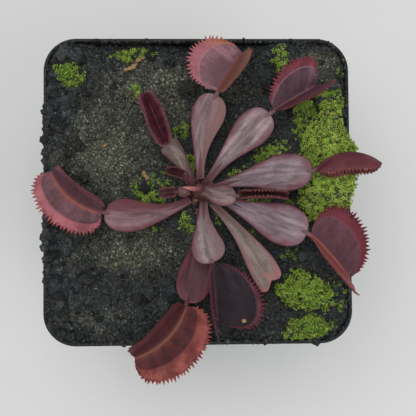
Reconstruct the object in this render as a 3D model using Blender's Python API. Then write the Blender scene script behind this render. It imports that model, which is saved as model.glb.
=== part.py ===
"""A Venus flytrap in a square nursery pot: pot, soil, moss cushions, crown and thirteen leaves.

Millimetres below, metres in the meshes. Z is up, and the origin is the middle of the pot's underside.
"""

import math

import bmesh
import bpy
import numpy as np
from mathutils import Vector, noise

MM = 0.001
UP = np.array((0.0, 0.0, 1.0))

# The pot
POT_HEIGHT = 72.0
RIM_HALF = 40.0
RIM_CORNER = 8.5
BASE_HALF = 29.0
BASE_CORNER = 6.5
WALL = 0.9
FLOOR = 1.6
BAND_HEIGHT = 9.0
BAND_STEP = 1.0
CORNER_STEPS = 6
DRAIN_RADIUS = 3.0
DRAIN_SPREAD = 19.0

# The soil
SOIL_LEVEL = 66.4
SOIL_GAP = 0.55
SOIL_SECTORS = 76
SOIL_RINGS = 17
SIDE_BANK = 4.6
LEFT_BANK = 0.9
BACK_DIP = 3.2
SWELL_HEIGHT = 0.8
SWELL_SIZE = 9.0
CLOD_HEIGHT = 1.3
CLOD_SIZE = 4.4
CROWN_HOLE_RADIUS = 3.8
CROWN_HOLE_DEPTH = 9.0

# The plant
CROWN_X = 0.5
CROWN_Y = 0.1
CROWN_RADIUS = 3.2
CROWN_TOP = 68.4
CROWN_CLEARANCE = 0.4
BUD_LENGTH = 5.2
BUD_WIDTH = 1.5
BUD_HEIGHT = 1.7
BLADE_EDGE = 0.6
BLADE_RIB = 0.9
TRAP_RIB = 0.62
NECK_HALF = 0.65
TOOTH_LENGTH = 1.3
TOOTH_INCURVE = 14.0

# The moss
MOSS_GAP = 0.55
MOSS_EDGE = 0.5
MOSS_BUMP_SIZE = 3.2
MOSS_SECTORS = 18
MOSS_RINGS = (0.36, 0.68, 0.9, 1.0)

# The blades: rows along a petiole, columns across any blade, and rows along a trap
PETIOLE_STEPS = (0.0, 0.18, 0.38, 0.58, 0.75, 0.87, 0.95, 1.0)
BLADE_COLUMNS = (-1.0, -0.86, -0.62, -0.34, 0.0, 0.34, 0.62, 0.86, 1.0)
TEETH = 16
FIRST_BETA = 20.0
NECK_OVERLAP = 2.0
NECK_DROP = 0.2
MERGE = 0.02

# Azimuths are counter-clockwise from +X, and left and right are as seen from the crown, along the leaf.
# base: radius and height of the petiole's foot. neck: azimuth, radius and height where the trap begins.
# bow and arch: how far the petiole's middle lies to its left and above a straight line.
# width: at the foot and at the widest. widest: how far along that is. vee: how deep the channel is.
# heading, pitch: which way the hinge points. turn, lift: how much both change along it.
# length: of the hinge. gap: from the petiole to the hinge. Then, for the left and the right lobe:
# depth: from hinge to margin. open: how far it stands up from the horizontal at the hinge.
# curl: how much more it stands up at the margin. shift: how far its tip lies ahead of the hinge's middle.
LEAVES = (
    dict(name="leaf_back", azimuth=84, base=(3.2, 69.2), neck=(80, 24.6, 75.5), bow=1.5, arch=1.0,
         width=(2.0, 8.6), widest=0.76, vee=0.16,
         trap=dict(heading=56, pitch=10, turn=0, lift=14, length=11.0, depth=(11.0, 10.0), gap=1.4,
                   open=(6, 72), curl=(10, 4), shift=(-0.6, 2.6))),
    dict(name="leaf_back_right", azimuth=49, base=(3.2, 67.7), neck=(47, 26.3, 76.0), bow=0.8, arch=1.2,
         width=(2.0, 9.2), widest=0.76, vee=0.18,
         trap=dict(heading=29, pitch=10, turn=0, lift=10, length=12.0, depth=(9.2, 8.5), gap=1.4,
                   open=(26, 68), curl=(14, 10), shift=(4.6, 7.0))),
    dict(name="leaf_right", azimuth=12, base=(4.2, 67.9), neck=(8.5, 28.9, 77.3), bow=1.0, arch=0.6,
         width=(2.0, 9.8), widest=0.72, vee=0.16,
         trap=dict(heading=5, pitch=2, turn=-86, lift=4, length=17.8, depth=(5.2, 5.4), gap=1.6,
                   open=(118, -20), curl=(70, 44), shift=(0.0, 0.0))),
    dict(name="leaf_front_right", azimuth=-20, base=(4.6, 69.8), neck=(-23, 29.3, 77.5), bow=-0.4, arch=1.2,
         width=(2.2, 10.6), widest=0.74, vee=0.12,
         trap=dict(heading=-50, pitch=2, turn=-6, lift=6, length=14.2, depth=(11.0, 9.5), gap=1.4,
                   open=(6, 73), curl=(12, 8), shift=(-3.2, 5.6))),
    dict(name="leaf_front_bare", azimuth=-44, base=(4.6, 67.7), neck=(-53, 29.8, 74.0), bow=1.0, arch=0.6,
         width=(2.0, 7.4), widest=0.88, vee=0.2, trap=None),
    dict(name="leaf_front", azimuth=-72, base=(3.4, 69.8), neck=(-81.5, 18.9, 78.4), bow=-0.8, arch=1.6,
         width=(2.2, 8.4), widest=0.78, vee=0.14,
         trap=dict(heading=-86, pitch=-4, turn=8, lift=0, length=14.0, depth=(11.8, 8.5), gap=0.2,
                   open=(12, 80), curl=(8, 6), shift=(4.6, 4.4))),
    dict(name="leaf_front_left", azimuth=-90, base=(4.6, 67.7), neck=(-97, 29.0, 75.0), bow=1.6, arch=0.0,
         width=(2.0, 9.2), widest=0.74, vee=0.16,
         trap=dict(heading=-135.5, pitch=2, turn=-52, lift=6, length=18.2, depth=(9.4, 9.0), gap=1.4,
                   open=(14, 46), curl=(6, 32), shift=(0.0, 0.8))),
    dict(name="leaf_left", azimuth=222, base=(3.4, 67.7), neck=(193.6, 25.0, 75.0), bow=2.2, arch=0.8,
         width=(2.2, 8.6), widest=0.76, vee=0.2,
         trap=dict(heading=140, pitch=4, turn=-54, lift=6, length=16.2, depth=(7.4, 8.0), gap=1.4,
                   open=(10, 46), curl=(8, 30), shift=(-0.3, 0.1))),
    dict(name="leaf_back_left", azimuth=134, base=(3.2, 68.2), neck=(125, 15.0, 72.5), bow=-0.6, arch=0.6,
         width=(2.6, 5.4), widest=0.88, vee=0.3,
         trap=dict(heading=113, pitch=8, turn=0, lift=4, length=13.4, depth=(6.2, 6.0), gap=0.2,
                   open=(56, 60), curl=(16, 16), shift=(0.0, 0.0))),
    dict(name="leaf_young_right", azimuth=-6, base=(1.2, 71.4), neck=(-12, 9.2, 76.8), bow=-0.6, arch=1.0,
         width=(3.0, 5.4), widest=0.6, vee=0.34,
         trap=dict(heading=-2, pitch=6, turn=-6, lift=-6, length=11.5, depth=(4.6, 4.6), gap=1.4,
                   open=(50, 58), curl=(56, 52), shift=(0.0, 0.0), tooth=0.9)),
)

# The youngest leaves, still furled over the crown
YOUNG = (
    dict(name="leaf_young_dark", azimuth=140, base=(2.6, 71.4), neck=(138, 4.8, 73.0), bow=0, arch=0,
         width=(1.8, 2.2), widest=0.5, vee=0.2,
         trap=dict(heading=168, pitch=18, turn=20, lift=0, length=4.2, depth=(3.0, 3.0), gap=1.4,
                   open=(38, 44), curl=(52, 50), shift=(0, 0), teeth=9, tooth=0.7)),
    dict(name="leaf_young_striped", azimuth=186, base=(2.6, 70.6), neck=(184, 5.6, 71.6), bow=0, arch=0,
         width=(1.8, 3.0), widest=0.5, vee=0.3,
         trap=dict(heading=186, pitch=8, turn=0, lift=0, length=3.6, depth=(2.8, 2.8), gap=1.3,
                   open=(34, 40), curl=(50, 50), shift=(0, 0), teeth=9, tooth=0.6)),
)


def lean(azimuth, pitch=0.0):
    """The unit vector that points along an azimuth, raised by a pitch, both in degrees."""
    a = math.radians(azimuth)
    p = math.radians(pitch)
    return np.array((math.cos(a) * math.cos(p), math.sin(a) * math.cos(p), math.sin(p)))


def unit(vector):
    return vector / np.linalg.norm(vector)


def smooth(x):
    """The smooth step from 0 to 1."""
    x = min(max(x, 0.0), 1.0)
    return x * x * (3.0 - 2.0 * x)


def add_material(obj, color, roughness):
    material = bpy.data.materials.new(obj.name)
    material.use_nodes = True
    shader = material.node_tree.nodes["Principled BSDF"]
    shader.inputs["Base Color"].default_value = (*color, 1.0)
    shader.inputs["Roughness"].default_value = roughness
    obj.data.materials.append(material)


def add_object(name, points, faces, color, roughness, sharp=50.0):
    """Makes a closed mesh object from points in millimetres, with its faces turned outward."""
    mesh = bpy.data.meshes.new(name)
    mesh.from_pydata([tuple(float(c) * MM for c in point) for point in points], [], faces)
    shape = bmesh.new()
    shape.from_mesh(mesh)
    if shape.calc_volume(signed=True) < 0.0:
        bmesh.ops.reverse_faces(shape, faces=shape.faces)
    shape.to_mesh(mesh)
    shape.free()
    mesh.shade_smooth()
    mesh.set_sharp_from_angle(angle=math.radians(sharp))
    obj = bpy.data.objects.new(name, mesh)
    bpy.context.scene.collection.objects.link(obj)
    add_material(obj, color, roughness)
    return obj


def ring_faces(rings, count):
    """The quads that join rings of count points each, one after the other."""
    faces = []
    for ring in range(rings - 1):
        for i in range(count):
            j = (i + 1) % count
            a = ring * count
            b = a + count
            faces.append((a + i, a + j, b + j, b + i))
    return faces


# ---------------------------------------------------------------- pot

def square_ring(half, corner, z):
    """A ring round a square with rounded corners."""
    ring = []
    for quarter in range(4):
        start = quarter * math.pi / 2
        cx = (half - corner) * (1 if quarter in (0, 3) else -1)
        cy = (half - corner) * (1 if quarter in (0, 1) else -1)
        for step in range(CORNER_STEPS + 1):
            a = start + step / CORNER_STEPS * math.pi / 2
            ring.append((cx + corner * math.cos(a), cy + corner * math.sin(a), z))
    return ring


def wall_half(z):
    """Half the pot's outer width at a height below the band."""
    return BASE_HALF + (RIM_HALF - BAND_STEP - BASE_HALF) * z / (POT_HEIGHT - BAND_HEIGHT)


def wall_corner(z):
    return BASE_CORNER + (RIM_CORNER - BAND_STEP - BASE_CORNER) * z / (POT_HEIGHT - BAND_HEIGHT)


def inner_half(z):
    """Half the width inside the pot at a height."""
    band = POT_HEIGHT - BAND_HEIGHT
    if z < band:
        return wall_half(z) - WALL
    return wall_half(band) - WALL + BAND_STEP * min((z - band) / BAND_STEP, 1.0)


def inner_corner(z):
    """The radius of the corners inside the pot at a height."""
    return (RIM_CORNER if z > POT_HEIGHT - BAND_HEIGHT else wall_corner(z)) - WALL


def make_pot():
    band = POT_HEIGHT - BAND_HEIGHT
    rounding = 1.0
    outside = (
        (BASE_HALF - rounding, BASE_CORNER - rounding, 0.0),
        (wall_half(rounding), wall_corner(rounding), rounding),
        (wall_half(band - BAND_STEP), wall_corner(band - BAND_STEP), band - BAND_STEP),
        (RIM_HALF - 0.3, RIM_CORNER - 0.3, band),
        (RIM_HALF - 0.1, RIM_CORNER - 0.1, POT_HEIGHT - 1.6),
        (RIM_HALF, RIM_CORNER, POT_HEIGHT - 1.2),
        (RIM_HALF, RIM_CORNER, POT_HEIGHT - 0.4),
        (RIM_HALF - 0.4, RIM_CORNER - 0.4, POT_HEIGHT),
    )
    inside = (
        (RIM_HALF - WALL + 0.1, RIM_CORNER - WALL + 0.1, POT_HEIGHT),
        (RIM_HALF - WALL - 0.1, RIM_CORNER - WALL, POT_HEIGHT - 0.4),
        (inner_half(band + BAND_STEP), RIM_CORNER - WALL, band + BAND_STEP),
        (inner_half(band), wall_corner(band) - WALL, band),
        (inner_half(FLOOR + rounding), wall_corner(FLOOR) - WALL, FLOOR + rounding),
        (inner_half(FLOOR) - rounding, wall_corner(FLOOR) - WALL - rounding, FLOOR),
    )
    points = []
    for half, corner, z in outside + inside:
        points += square_ring(half, corner, z)
    count = len(square_ring(1.0, 0.5, 0.0))
    rings = len(outside) + len(inside)
    faces = ring_faces(rings, count)
    faces.append(tuple(reversed(range(count))))
    faces.append(tuple(range((rings - 1) * count, rings * count)))
    pot = add_object("pot", points, faces, (0.018, 0.018, 0.02), 0.45, sharp=35.0)
    drains = make_drain_cutter()
    cut = pot.modifiers.new("drains", "BOOLEAN")
    cut.operation = "DIFFERENCE"
    cut.object = drains


def make_drain_cutter():
    """Four round drain holes near the corners of the floor and four near the middles of its sides."""
    shape = bmesh.new()
    for i in range(8):
        spread = DRAIN_SPREAD * (1.0 if i % 2 else 1.05)
        x = spread * round(math.cos(i * math.pi / 4))
        y = spread * round(math.sin(i * math.pi / 4))
        made = bmesh.ops.create_cone(shape, cap_ends=True, segments=12, radius1=DRAIN_RADIUS * MM,
                                     radius2=DRAIN_RADIUS * MM, depth=4 * FLOOR * MM)
        bmesh.ops.translate(shape, verts=made["verts"], vec=Vector((x, y, 0.0)) * MM)
    mesh = bpy.data.meshes.new("drain_cutter")
    shape.to_mesh(mesh)
    shape.free()
    cutter = bpy.data.objects.new("drain_cutter", mesh)
    cutter.hide_render = True
    cutter.display_type = "WIRE"
    bpy.context.scene.collection.objects.link(cutter)
    return cutter


# ---------------------------------------------------------------- soil and moss

def soil_height(x, y):
    """The soil's surface: lumpy, banked up along the walls and highest on the left."""
    edge = max(abs(x), abs(y))
    bank = SIDE_BANK * smooth((edge - 18.0) / 19.0) + LEFT_BANK * smooth((-x - 22.0) / 14.0)
    dip = BACK_DIP * smooth((y - 27.0) / 9.0) * smooth((24.0 - x) / 12.0) * smooth((x + 34.0) / 8.0)
    swells = SWELL_HEIGHT * noise.noise(Vector((x / SWELL_SIZE, y / SWELL_SIZE, 3.7)))
    clods = CLOD_HEIGHT * noise.noise(Vector((x / CLOD_SIZE, y / CLOD_SIZE, 6.1)))
    clods *= 1.0 + 0.5 * smooth((-x - 20.0) / 8.0)
    crown = math.hypot(x - CROWN_X, y - CROWN_Y)
    lumps = swells * smooth((crown - 5.0) / 6.0) + clods * smooth((crown - 6.0) / 6.0)
    return SOIL_LEVEL + bank - dip + lumps


def rounded_reach(angle, half, corner):
    """How far a square with rounded corners reaches from its middle, along an angle."""
    c = abs(math.cos(angle))
    s = abs(math.sin(angle))
    if c < s:
        c, s = s, c
    if half * s / c <= half - corner:
        return half / c
    b = (half - corner) * (c + s)
    return b + math.sqrt(b * b - 2 * (half - corner) ** 2 + corner ** 2)


def soil_wall_ring(angles, z, inset=0.0):
    """A ring of soil just inside the pot's wall."""
    half = inner_half(z) - SOIL_GAP - inset
    reaches = [rounded_reach(a, half, inner_corner(z) - SOIL_GAP) for a in angles]
    return [(reach * math.cos(a), reach * math.sin(a), z) for a, reach in zip(angles, reaches)]


def make_soil():
    """The filling: rings from the crown's hole out to the wall, then down and across the floor."""
    angles = [(i + 0.5) * 2 * math.pi / SOIL_SECTORS for i in range(SOIL_SECTORS)]
    edge = soil_wall_ring(angles, POT_HEIGHT)
    hole = [(CROWN_X + CROWN_HOLE_RADIUS * math.cos(a), CROWN_Y + CROWN_HOLE_RADIUS * math.sin(a))
            for a in angles]
    points = [(x, y, SOIL_LEVEL - CROWN_HOLE_DEPTH) for x, y in hole]
    for ring in range(SOIL_RINGS):
        share = ring / (SOIL_RINGS - 1)
        for (hx, hy), (ex, ey, _) in zip(hole, edge):
            x = hx + (ex - hx) * share
            y = hy + (ey - hy) * share
            points.append((x, y, soil_height(x, y)))
    band = POT_HEIGHT - BAND_HEIGHT
    for z in (band + BAND_STEP, band, FLOOR + 1.0):
        points += soil_wall_ring(angles, z)
    points += soil_wall_ring(angles, FLOOR + SOIL_GAP, inset=1.0)
    rings = len(points) // SOIL_SECTORS
    faces = ring_faces(rings, SOIL_SECTORS)
    faces.append(tuple(reversed(range(SOIL_SECTORS))))
    faces.append(tuple(range((rings - 1) * SOIL_SECTORS, rings * SOIL_SECTORS)))
    add_object("soil", points, faces, (0.04, 0.038, 0.034), 0.95, sharp=60.0)


def ground_height(x, y):
    """The highest that the soil, or the pot's rim near and past the edge, comes round a point."""
    reach = 1.6
    soil = max(soil_height(x + dx, y + dy) for dx in (-reach, 0.0, reach) for dy in (-reach, 0.0, reach))
    inward = rounded_reach(math.atan2(y, x), RIM_HALF, RIM_CORNER) - math.hypot(x, y)
    over = smooth((5.0 - inward) / 2.4)
    return soil + max(POT_HEIGHT - soil, 0.0) * over


MOSS = (
    dict(name="moss_right", at=(34.0, 6.5), size=(7.2, 15.0), turn=-3, thick=3.2, bumps=1.0),
    dict(name="moss_front_right", at=(28.0, -26.6), size=(7.0, 4.4), turn=-12, thick=1.8, bumps=0.8),
    dict(name="moss_front_corner", at=(28.0, -35.7), size=(6.2, 2.8), turn=6, thick=1.6, bumps=0.7),
    dict(name="moss_back_left", at=(-33.0, 30.2), size=(3.8, 2.8), turn=-20, thick=1.4, bumps=0.6),
)


def make_moss(cushion):
    """A low cushion with a lobed outline, whose underside follows the ground."""
    cx, cy = cushion["at"]
    ax, ay = cushion["size"]
    turn = math.radians(cushion["turn"])

    def place(share, i):
        a = i * 2 * math.pi / MOSS_SECTORS
        lobed = 1.0 + 0.12 * math.sin(3 * a + cx) + 0.08 * math.sin(5 * a + cy)
        u = ax * share * lobed * math.cos(a)
        v = ay * share * lobed * math.sin(a)
        return (cx + u * math.cos(turn) - v * math.sin(turn), cy + u * math.sin(turn) + v * math.cos(turn))

    def top(x, y, share):
        bump = cushion["bumps"] * noise.noise(Vector((x / MOSS_BUMP_SIZE, y / MOSS_BUMP_SIZE, 8.1)))
        swell = (cushion["thick"] + bump) * math.sqrt(1.0 - 0.98 * share ** 2)
        return ground_height(x, y) + MOSS_GAP + MOSS_EDGE + swell

    points = [(cx, cy, top(cx, cy, 0.0))]
    for share in MOSS_RINGS:
        for i in range(MOSS_SECTORS):
            x, y = place(share, i)
            points.append((x, y, top(x, y, share)))
    for share in reversed(MOSS_RINGS):
        for i in range(MOSS_SECTORS):
            x, y = place(share, i)
            points.append((x, y, ground_height(x, y) + MOSS_GAP))
    points.append((cx, cy, ground_height(cx, cy) + MOSS_GAP))
    rings = 2 * len(MOSS_RINGS)
    faces = [tuple(v + 1 for v in face) for face in ring_faces(rings, MOSS_SECTORS)]
    last = len(points) - 1
    for i in range(MOSS_SECTORS):
        j = (i + 1) % MOSS_SECTORS
        faces.append((0, 1 + j, 1 + i))
        faces.append((last, last - MOSS_SECTORS + i, last - MOSS_SECTORS + j))
    add_object(cushion["name"], points, faces, (0.19, 0.33, 0.03), 0.9, sharp=70.0)


# ---------------------------------------------------------------- crown

def make_crown():
    """The rhizome: a bulb of old leaf bases that stands in its hole in the soil."""
    sectors = 14
    profile = ((0.45, 0.0), (0.8, 0.1), (1.0, 0.35), (1.0, 0.62), (0.82, 0.84), (0.45, 0.97))
    foot = SOIL_LEVEL - CROWN_HOLE_DEPTH + CROWN_CLEARANCE
    points = []
    for share, up in profile:
        for i in range(sectors):
            a = i * 2 * math.pi / sectors
            r = CROWN_RADIUS * share * (1.0 - 0.07 * math.cos(5 * a + 4 * up))
            z = foot + (CROWN_TOP - foot) * up
            points.append((CROWN_X + r * math.cos(a), CROWN_Y + r * math.sin(a), z))
    points.append((CROWN_X, CROWN_Y, CROWN_TOP))
    add_object("crown", points, cone_faces(len(profile), sectors), (0.22, 0.14, 0.13), 0.6)


def cone_faces(rings, sectors):
    """The faces of rings closed by a flat foot and by one point at the top."""
    faces = ring_faces(rings, sectors)
    faces.append(tuple(reversed(range(sectors))))
    top = (rings - 1) * sectors
    for i in range(sectors):
        faces.append((top + i, top + (i + 1) % sectors, rings * sectors))
    return faces


# ---------------------------------------------------------------- leaves

def petiole_half_width(leaf, u):
    """Half the petiole's width, from its foot at u = 0 to the neck at u = 1."""
    foot, broad = (0.5 * w for w in leaf["width"])
    widest = leaf["widest"]
    if u <= widest:
        x = u / widest
        return foot + (broad - foot) * x ** 1.9 * (1.0 - 0.24 * x ** 6) / 0.76
    x = (u - widest) / (1.0 - widest)
    end = NECK_HALF if leaf["trap"] else 0.8 * broad
    return end + (broad - end) * math.sqrt(max(1.0 - x ** 2.4, 0.0))


def petiole_path(leaf, u):
    """The midrib's point and direction at u."""
    radius, z = leaf["base"]
    foot = np.array((CROWN_X, CROWN_Y, z)) + lean(leaf["azimuth"]) * radius
    azimuth, reach, neck_z = leaf["neck"]
    neck = np.array((CROWN_X, CROWN_Y, neck_z)) + lean(azimuth) * reach
    run = neck - foot
    side = unit(np.cross(UP, run))
    bend = 4 * u * (1 - u)
    slope = 4 - 8 * u
    point = foot + run * u + side * leaf["bow"] * bend + UP * leaf["arch"] * bend
    return point, unit(run + side * leaf["bow"] * slope + UP * leaf["arch"] * slope)


def petiole_point(leaf, u, v):
    """A point on the petiole's middle surface, v = -1 at its right margin and 1 at its left one."""
    point, along = petiole_path(leaf, u)
    side = unit(np.cross(UP, along))
    normal = np.cross(along, side)
    half = petiole_half_width(leaf, u)
    rise = leaf["vee"] * half * (1.15 * abs(v) ** 1.4 - 0.35 * v ** 4)
    wave = 0.05 * half * v * abs(v) * math.sin(9.0 * u + leaf["azimuth"])
    if not leaf["trap"]:
        torn = smooth((u - 0.8) / 0.2)
        point = point + along * torn * (2.4 * min(abs(v - 0.1), 0.7) - 0.9 * v * v - 0.9 * v)
    return point + side * half * v + normal * (rise + wave)


def hinge_path(leaf, p):
    """The hinge's point, direction and left side at p, measured from its middle."""
    trap = leaf["trap"]
    half = trap["length"] / 2
    neck, along = petiole_path(leaf, 1.0)
    point = neck + unit(along + hinge_direction(trap, -half)) * trap["gap"]
    steps = 24
    step = trap["length"] / steps
    inside = min(max(p, -half), half)
    gone = -half
    while gone < inside - 1e-9:
        move = min(step, inside - gone)
        point = point + hinge_direction(trap, gone + move / 2) * move
        gone += move
    direction = hinge_direction(trap, inside)
    return point + direction * (p - inside), direction, unit(np.cross(UP, direction))


def hinge_direction(trap, p):
    share = p / trap["length"]
    return lean(trap["heading"] + trap["turn"] * share, trap["pitch"] + trap["lift"] * share)


def lobe_point(leaf, p, q, left):
    """A point q away from the hinge on one lobe."""
    trap = leaf["trap"]
    point, along, side = hinge_path(leaf, p)
    up = np.cross(along, side)
    index = 0 if left else 1
    start = math.radians(trap["open"][index])
    rate = math.radians(trap["curl"][index]) / trap["depth"][index]
    out = (math.sin(start + rate * q) - math.sin(start)) / rate
    rise = (math.cos(start) - math.cos(start + rate * q)) / rate
    return point + side * out * (1 if left else -1) + up * rise


def trap_point(leaf, share, v):
    """A point on the line that fans out from the hinge, a share of the way along it."""
    trap = leaf["trap"]
    left = v >= 0
    index = 0 if left else 1
    depth = trap["depth"][index]
    b = math.radians(FIRST_BETA + (180 - 2 * FIRST_BETA) * share)
    at_hinge = trap["length"] * (share - 0.5)
    reach = depth * math.sin(b) ** 0.62
    at_margin = -(trap["length"] / 2 + 0.1 * depth) * math.cos(b) + trap["shift"][index] * reach / depth
    return lobe_point(leaf, at_hinge + (at_margin - at_hinge) * abs(v), reach * abs(v), left)


def neck_point(leaf, p, v):
    """A point on the narrow strip that runs from the petiole in under the hinge."""
    point, along, side = hinge_path(leaf, p - leaf["trap"]["length"] / 2)
    return point - np.cross(along, side) * NECK_DROP + side * NECK_HALF * v


def petiole_rows(leaf):
    """The rows of the petiole's middle surface, and how many of them at its end are narrow."""
    rows = [[petiole_point(leaf, u, v) for v in BLADE_COLUMNS] for u in PETIOLE_STEPS]
    if not leaf["trap"]:
        return np.array(rows), 0
    rows += [[neck_point(leaf, p, v) for v in BLADE_COLUMNS] for p in (0.0, NECK_OVERLAP)]
    return np.array(rows), 3


def trap_rows(leaf):
    """The rows of the trap's middle surface, one more than the teeth along a margin."""
    teeth = leaf["trap"].get("teeth", TEETH)
    return np.array([[trap_point(leaf, i / teeth, v) for v in BLADE_COLUMNS] for i in range(teeth + 1)])


def split_quads(grid):
    """Two triangles a quad, on the diagonal along which they fold least."""
    rows, columns = grid.shape[:2]
    triangles = []
    for i in range(rows - 1):
        for j in range(columns - 1):
            a, b, c, d = (i, j), (i + 1, j), (i + 1, j + 1), (i, j + 1)
            best = None
            for pair in (((a, b, c), (a, c, d)), ((a, b, d), (b, c, d))):
                normals = [np.cross(grid[t[1]] - grid[t[0]], grid[t[2]] - grid[t[0]]) for t in pair]
                lengths = [np.linalg.norm(n) + 1e-9 for n in normals]
                flat = float(normals[0] @ normals[1]) / (lengths[0] * lengths[1])
                if best is None or flat > best[0] + 1e-6:
                    best = (flat, pair)
            triangles += best[1]
    return triangles


def thicken(grid, triangles, rib, narrow):
    """The upper and the lower face of a blade; the last rows, if narrow, share their normals across."""
    normals = np.zeros_like(grid)
    for a, b, c in triangles:
        normal = np.cross(grid[b] - grid[a], grid[c] - grid[a])
        for corner in (a, b, c):
            normals[corner] += normal
    for row in range(len(grid) - narrow, len(grid)):
        normals[row] = normals[row].sum(axis=0)
    normals /= np.linalg.norm(normals, axis=2)[..., None] + 1e-12
    across = np.array([max(1.0 - 2.2 * abs(v), 0.0) for v in BLADE_COLUMNS])
    offset = normals * (BLADE_EDGE + (rib - BLADE_EDGE) * across)[None, :, None] / 2
    return grid + offset, grid - offset, normals


def make_blade(name, grid, rib, narrow, tooth, color):
    """A closed blade round a middle surface, with a tooth of this length on each step of its margins."""
    rows, columns = grid.shape[:2]
    triangles = split_quads(grid)
    upper, lower, normals = thicken(grid, triangles, rib, narrow)
    points = list(upper.reshape(-1, 3)) + list(lower.reshape(-1, 3))
    below = rows * columns

    def at(corner):
        return corner[0] * columns + corner[1]

    faces = []
    for a, b, c in triangles:
        faces.append((at(a), at(b), at(c)))
        faces.append((below + at(a), below + at(c), below + at(b)))
    border = [((i, 0), (i + 1, 0)) for i in range(rows - 1)]
    border += [((rows - 1, j), (rows - 1, j + 1)) for j in range(columns - 1)]
    border += [((i + 1, columns - 1), (i, columns - 1)) for i in range(rows - 1)]
    border += [((0, j + 1), (0, j)) for j in range(columns - 1)]
    for a, b in border:
        quad = (at(b), at(a), below + at(a), below + at(b))
        if not tooth or a[1] != b[1]:
            faces.append(quad[:3])
            faces.append((quad[0], quad[2], quad[3]))
            continue
        out = unit(np.cross(grid[b] - grid[a], normals[a] + normals[b]))
        turn = math.radians(TOOTH_INCURVE)
        out = out * math.cos(turn) + normals[a] * math.sin(turn)
        points.append((grid[a] + grid[b]) / 2 + out * tooth)
        for k in range(4):
            faces.append((quad[k], quad[(k + 1) % 4], len(points) - 1))
    return add_object(name, points, faces, color, 0.5, sharp=75.0)


def fuse(obj, other):
    """Joins another closed object into the first one, and removes it."""
    union = obj.modifiers.new("union", "BOOLEAN")
    union.operation = "UNION"
    union.object = other
    bpy.context.view_layer.update()
    whole = obj.evaluated_get(bpy.context.evaluated_depsgraph_get())
    mesh = bpy.data.meshes.new_from_object(whole)
    shape = bmesh.new()
    shape.from_mesh(mesh)
    bmesh.ops.remove_doubles(shape, verts=shape.verts, dist=MERGE * MM)
    bmesh.ops.dissolve_degenerate(shape, edges=shape.edges, dist=MERGE * MM)
    shape.to_mesh(mesh)
    shape.free()
    obj.modifiers.clear()
    obj.data = mesh
    bpy.data.objects.remove(other, do_unlink=True)


def make_leaf(leaf, color):
    grid, narrow = petiole_rows(leaf)
    petiole = make_blade(leaf["name"], grid, BLADE_RIB, narrow, 0.0, color)
    if leaf["trap"]:
        tooth = leaf["trap"].get("tooth", TOOTH_LENGTH)
        trap = make_blade("trap", trap_rows(leaf), TRAP_RIB, 0, tooth, color)
        fuse(petiole, trap)


def make_bud():
    """The newest leaf, a pointed bud that lies over the crown."""
    sectors = 8
    profile = ((0.35, 0.0), (0.85, 0.12), (1.0, 0.32), (0.8, 0.6), (0.45, 0.85))
    foot = np.array((CROWN_X + 0.6, CROWN_Y + 0.4, CROWN_TOP + 3.8))
    along = lean(176, 12)
    side = unit(np.cross(UP, along))
    up = np.cross(along, side)
    points = []
    for share, gone in profile:
        for i in range(sectors):
            a = i * 2 * math.pi / sectors
            round_it = (side * BUD_WIDTH * math.cos(a) + up * BUD_HEIGHT * math.sin(a)) / 2
            points.append(foot + along * BUD_LENGTH * gone + round_it * share)
    points.append(foot + along * BUD_LENGTH)
    add_object("leaf_bud", points, cone_faces(len(profile), sectors), (0.38, 0.16, 0.15), 0.5)


def main():
    for obj in list(bpy.data.objects):
        bpy.data.objects.remove(obj, do_unlink=True)
    make_pot()
    make_soil()
    for cushion in MOSS:
        make_moss(cushion)
    make_crown()
    for leaf in LEAVES:
        make_leaf(leaf, (0.25, 0.12, 0.14))
    for leaf in YOUNG:
        make_leaf(leaf, (0.14, 0.05, 0.06))
    make_bud()


main()
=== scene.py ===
"""The looks of the potted Venus flytrap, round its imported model. Millimetres here, metres in meshes."""

import math

import bmesh
import bpy
import numpy as np
from mathutils import Matrix, Vector, noise


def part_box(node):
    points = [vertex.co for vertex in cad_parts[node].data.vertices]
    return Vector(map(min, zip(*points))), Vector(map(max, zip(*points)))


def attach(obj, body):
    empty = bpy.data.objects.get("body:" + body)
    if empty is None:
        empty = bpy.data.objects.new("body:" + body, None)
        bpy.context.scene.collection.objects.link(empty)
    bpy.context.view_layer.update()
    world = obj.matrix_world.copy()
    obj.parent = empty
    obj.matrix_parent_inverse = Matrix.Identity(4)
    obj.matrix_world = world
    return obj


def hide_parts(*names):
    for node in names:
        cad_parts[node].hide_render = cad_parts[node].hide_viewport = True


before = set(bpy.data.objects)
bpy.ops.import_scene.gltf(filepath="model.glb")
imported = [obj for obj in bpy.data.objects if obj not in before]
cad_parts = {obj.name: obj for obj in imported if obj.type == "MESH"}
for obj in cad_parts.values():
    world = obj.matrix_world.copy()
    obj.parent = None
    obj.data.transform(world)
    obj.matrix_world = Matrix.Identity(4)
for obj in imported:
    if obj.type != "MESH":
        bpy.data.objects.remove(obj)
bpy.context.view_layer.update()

MM = 0.001
UP = np.array((0.0, 0.0, 1.0))
SEED = 20

# The pot and the soil, as the model has them
POT_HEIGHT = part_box("pot")[1][2] / MM
RIM_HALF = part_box("pot")[1][0] / MM
RIM_CORNER = 8.5
BASE_HALF = 29.0
BASE_CORNER = 6.5
WALL = 0.9
FLOOR = 1.6
BAND_HEIGHT = 9.0
BAND_STEP = 1.0
DRAINS = 8
DRAIN_RADIUS = 3.0
DRAIN_SPREAD = 19.0
SOIL_LEVEL = 66.4
SIDE_BANK = 4.6
LEFT_BANK = 0.9
BACK_DIP = 3.2
CLOD_HEIGHT = 1.3
CLOD_SIZE = 4.4
SOIL_GAP = 0.2

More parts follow.
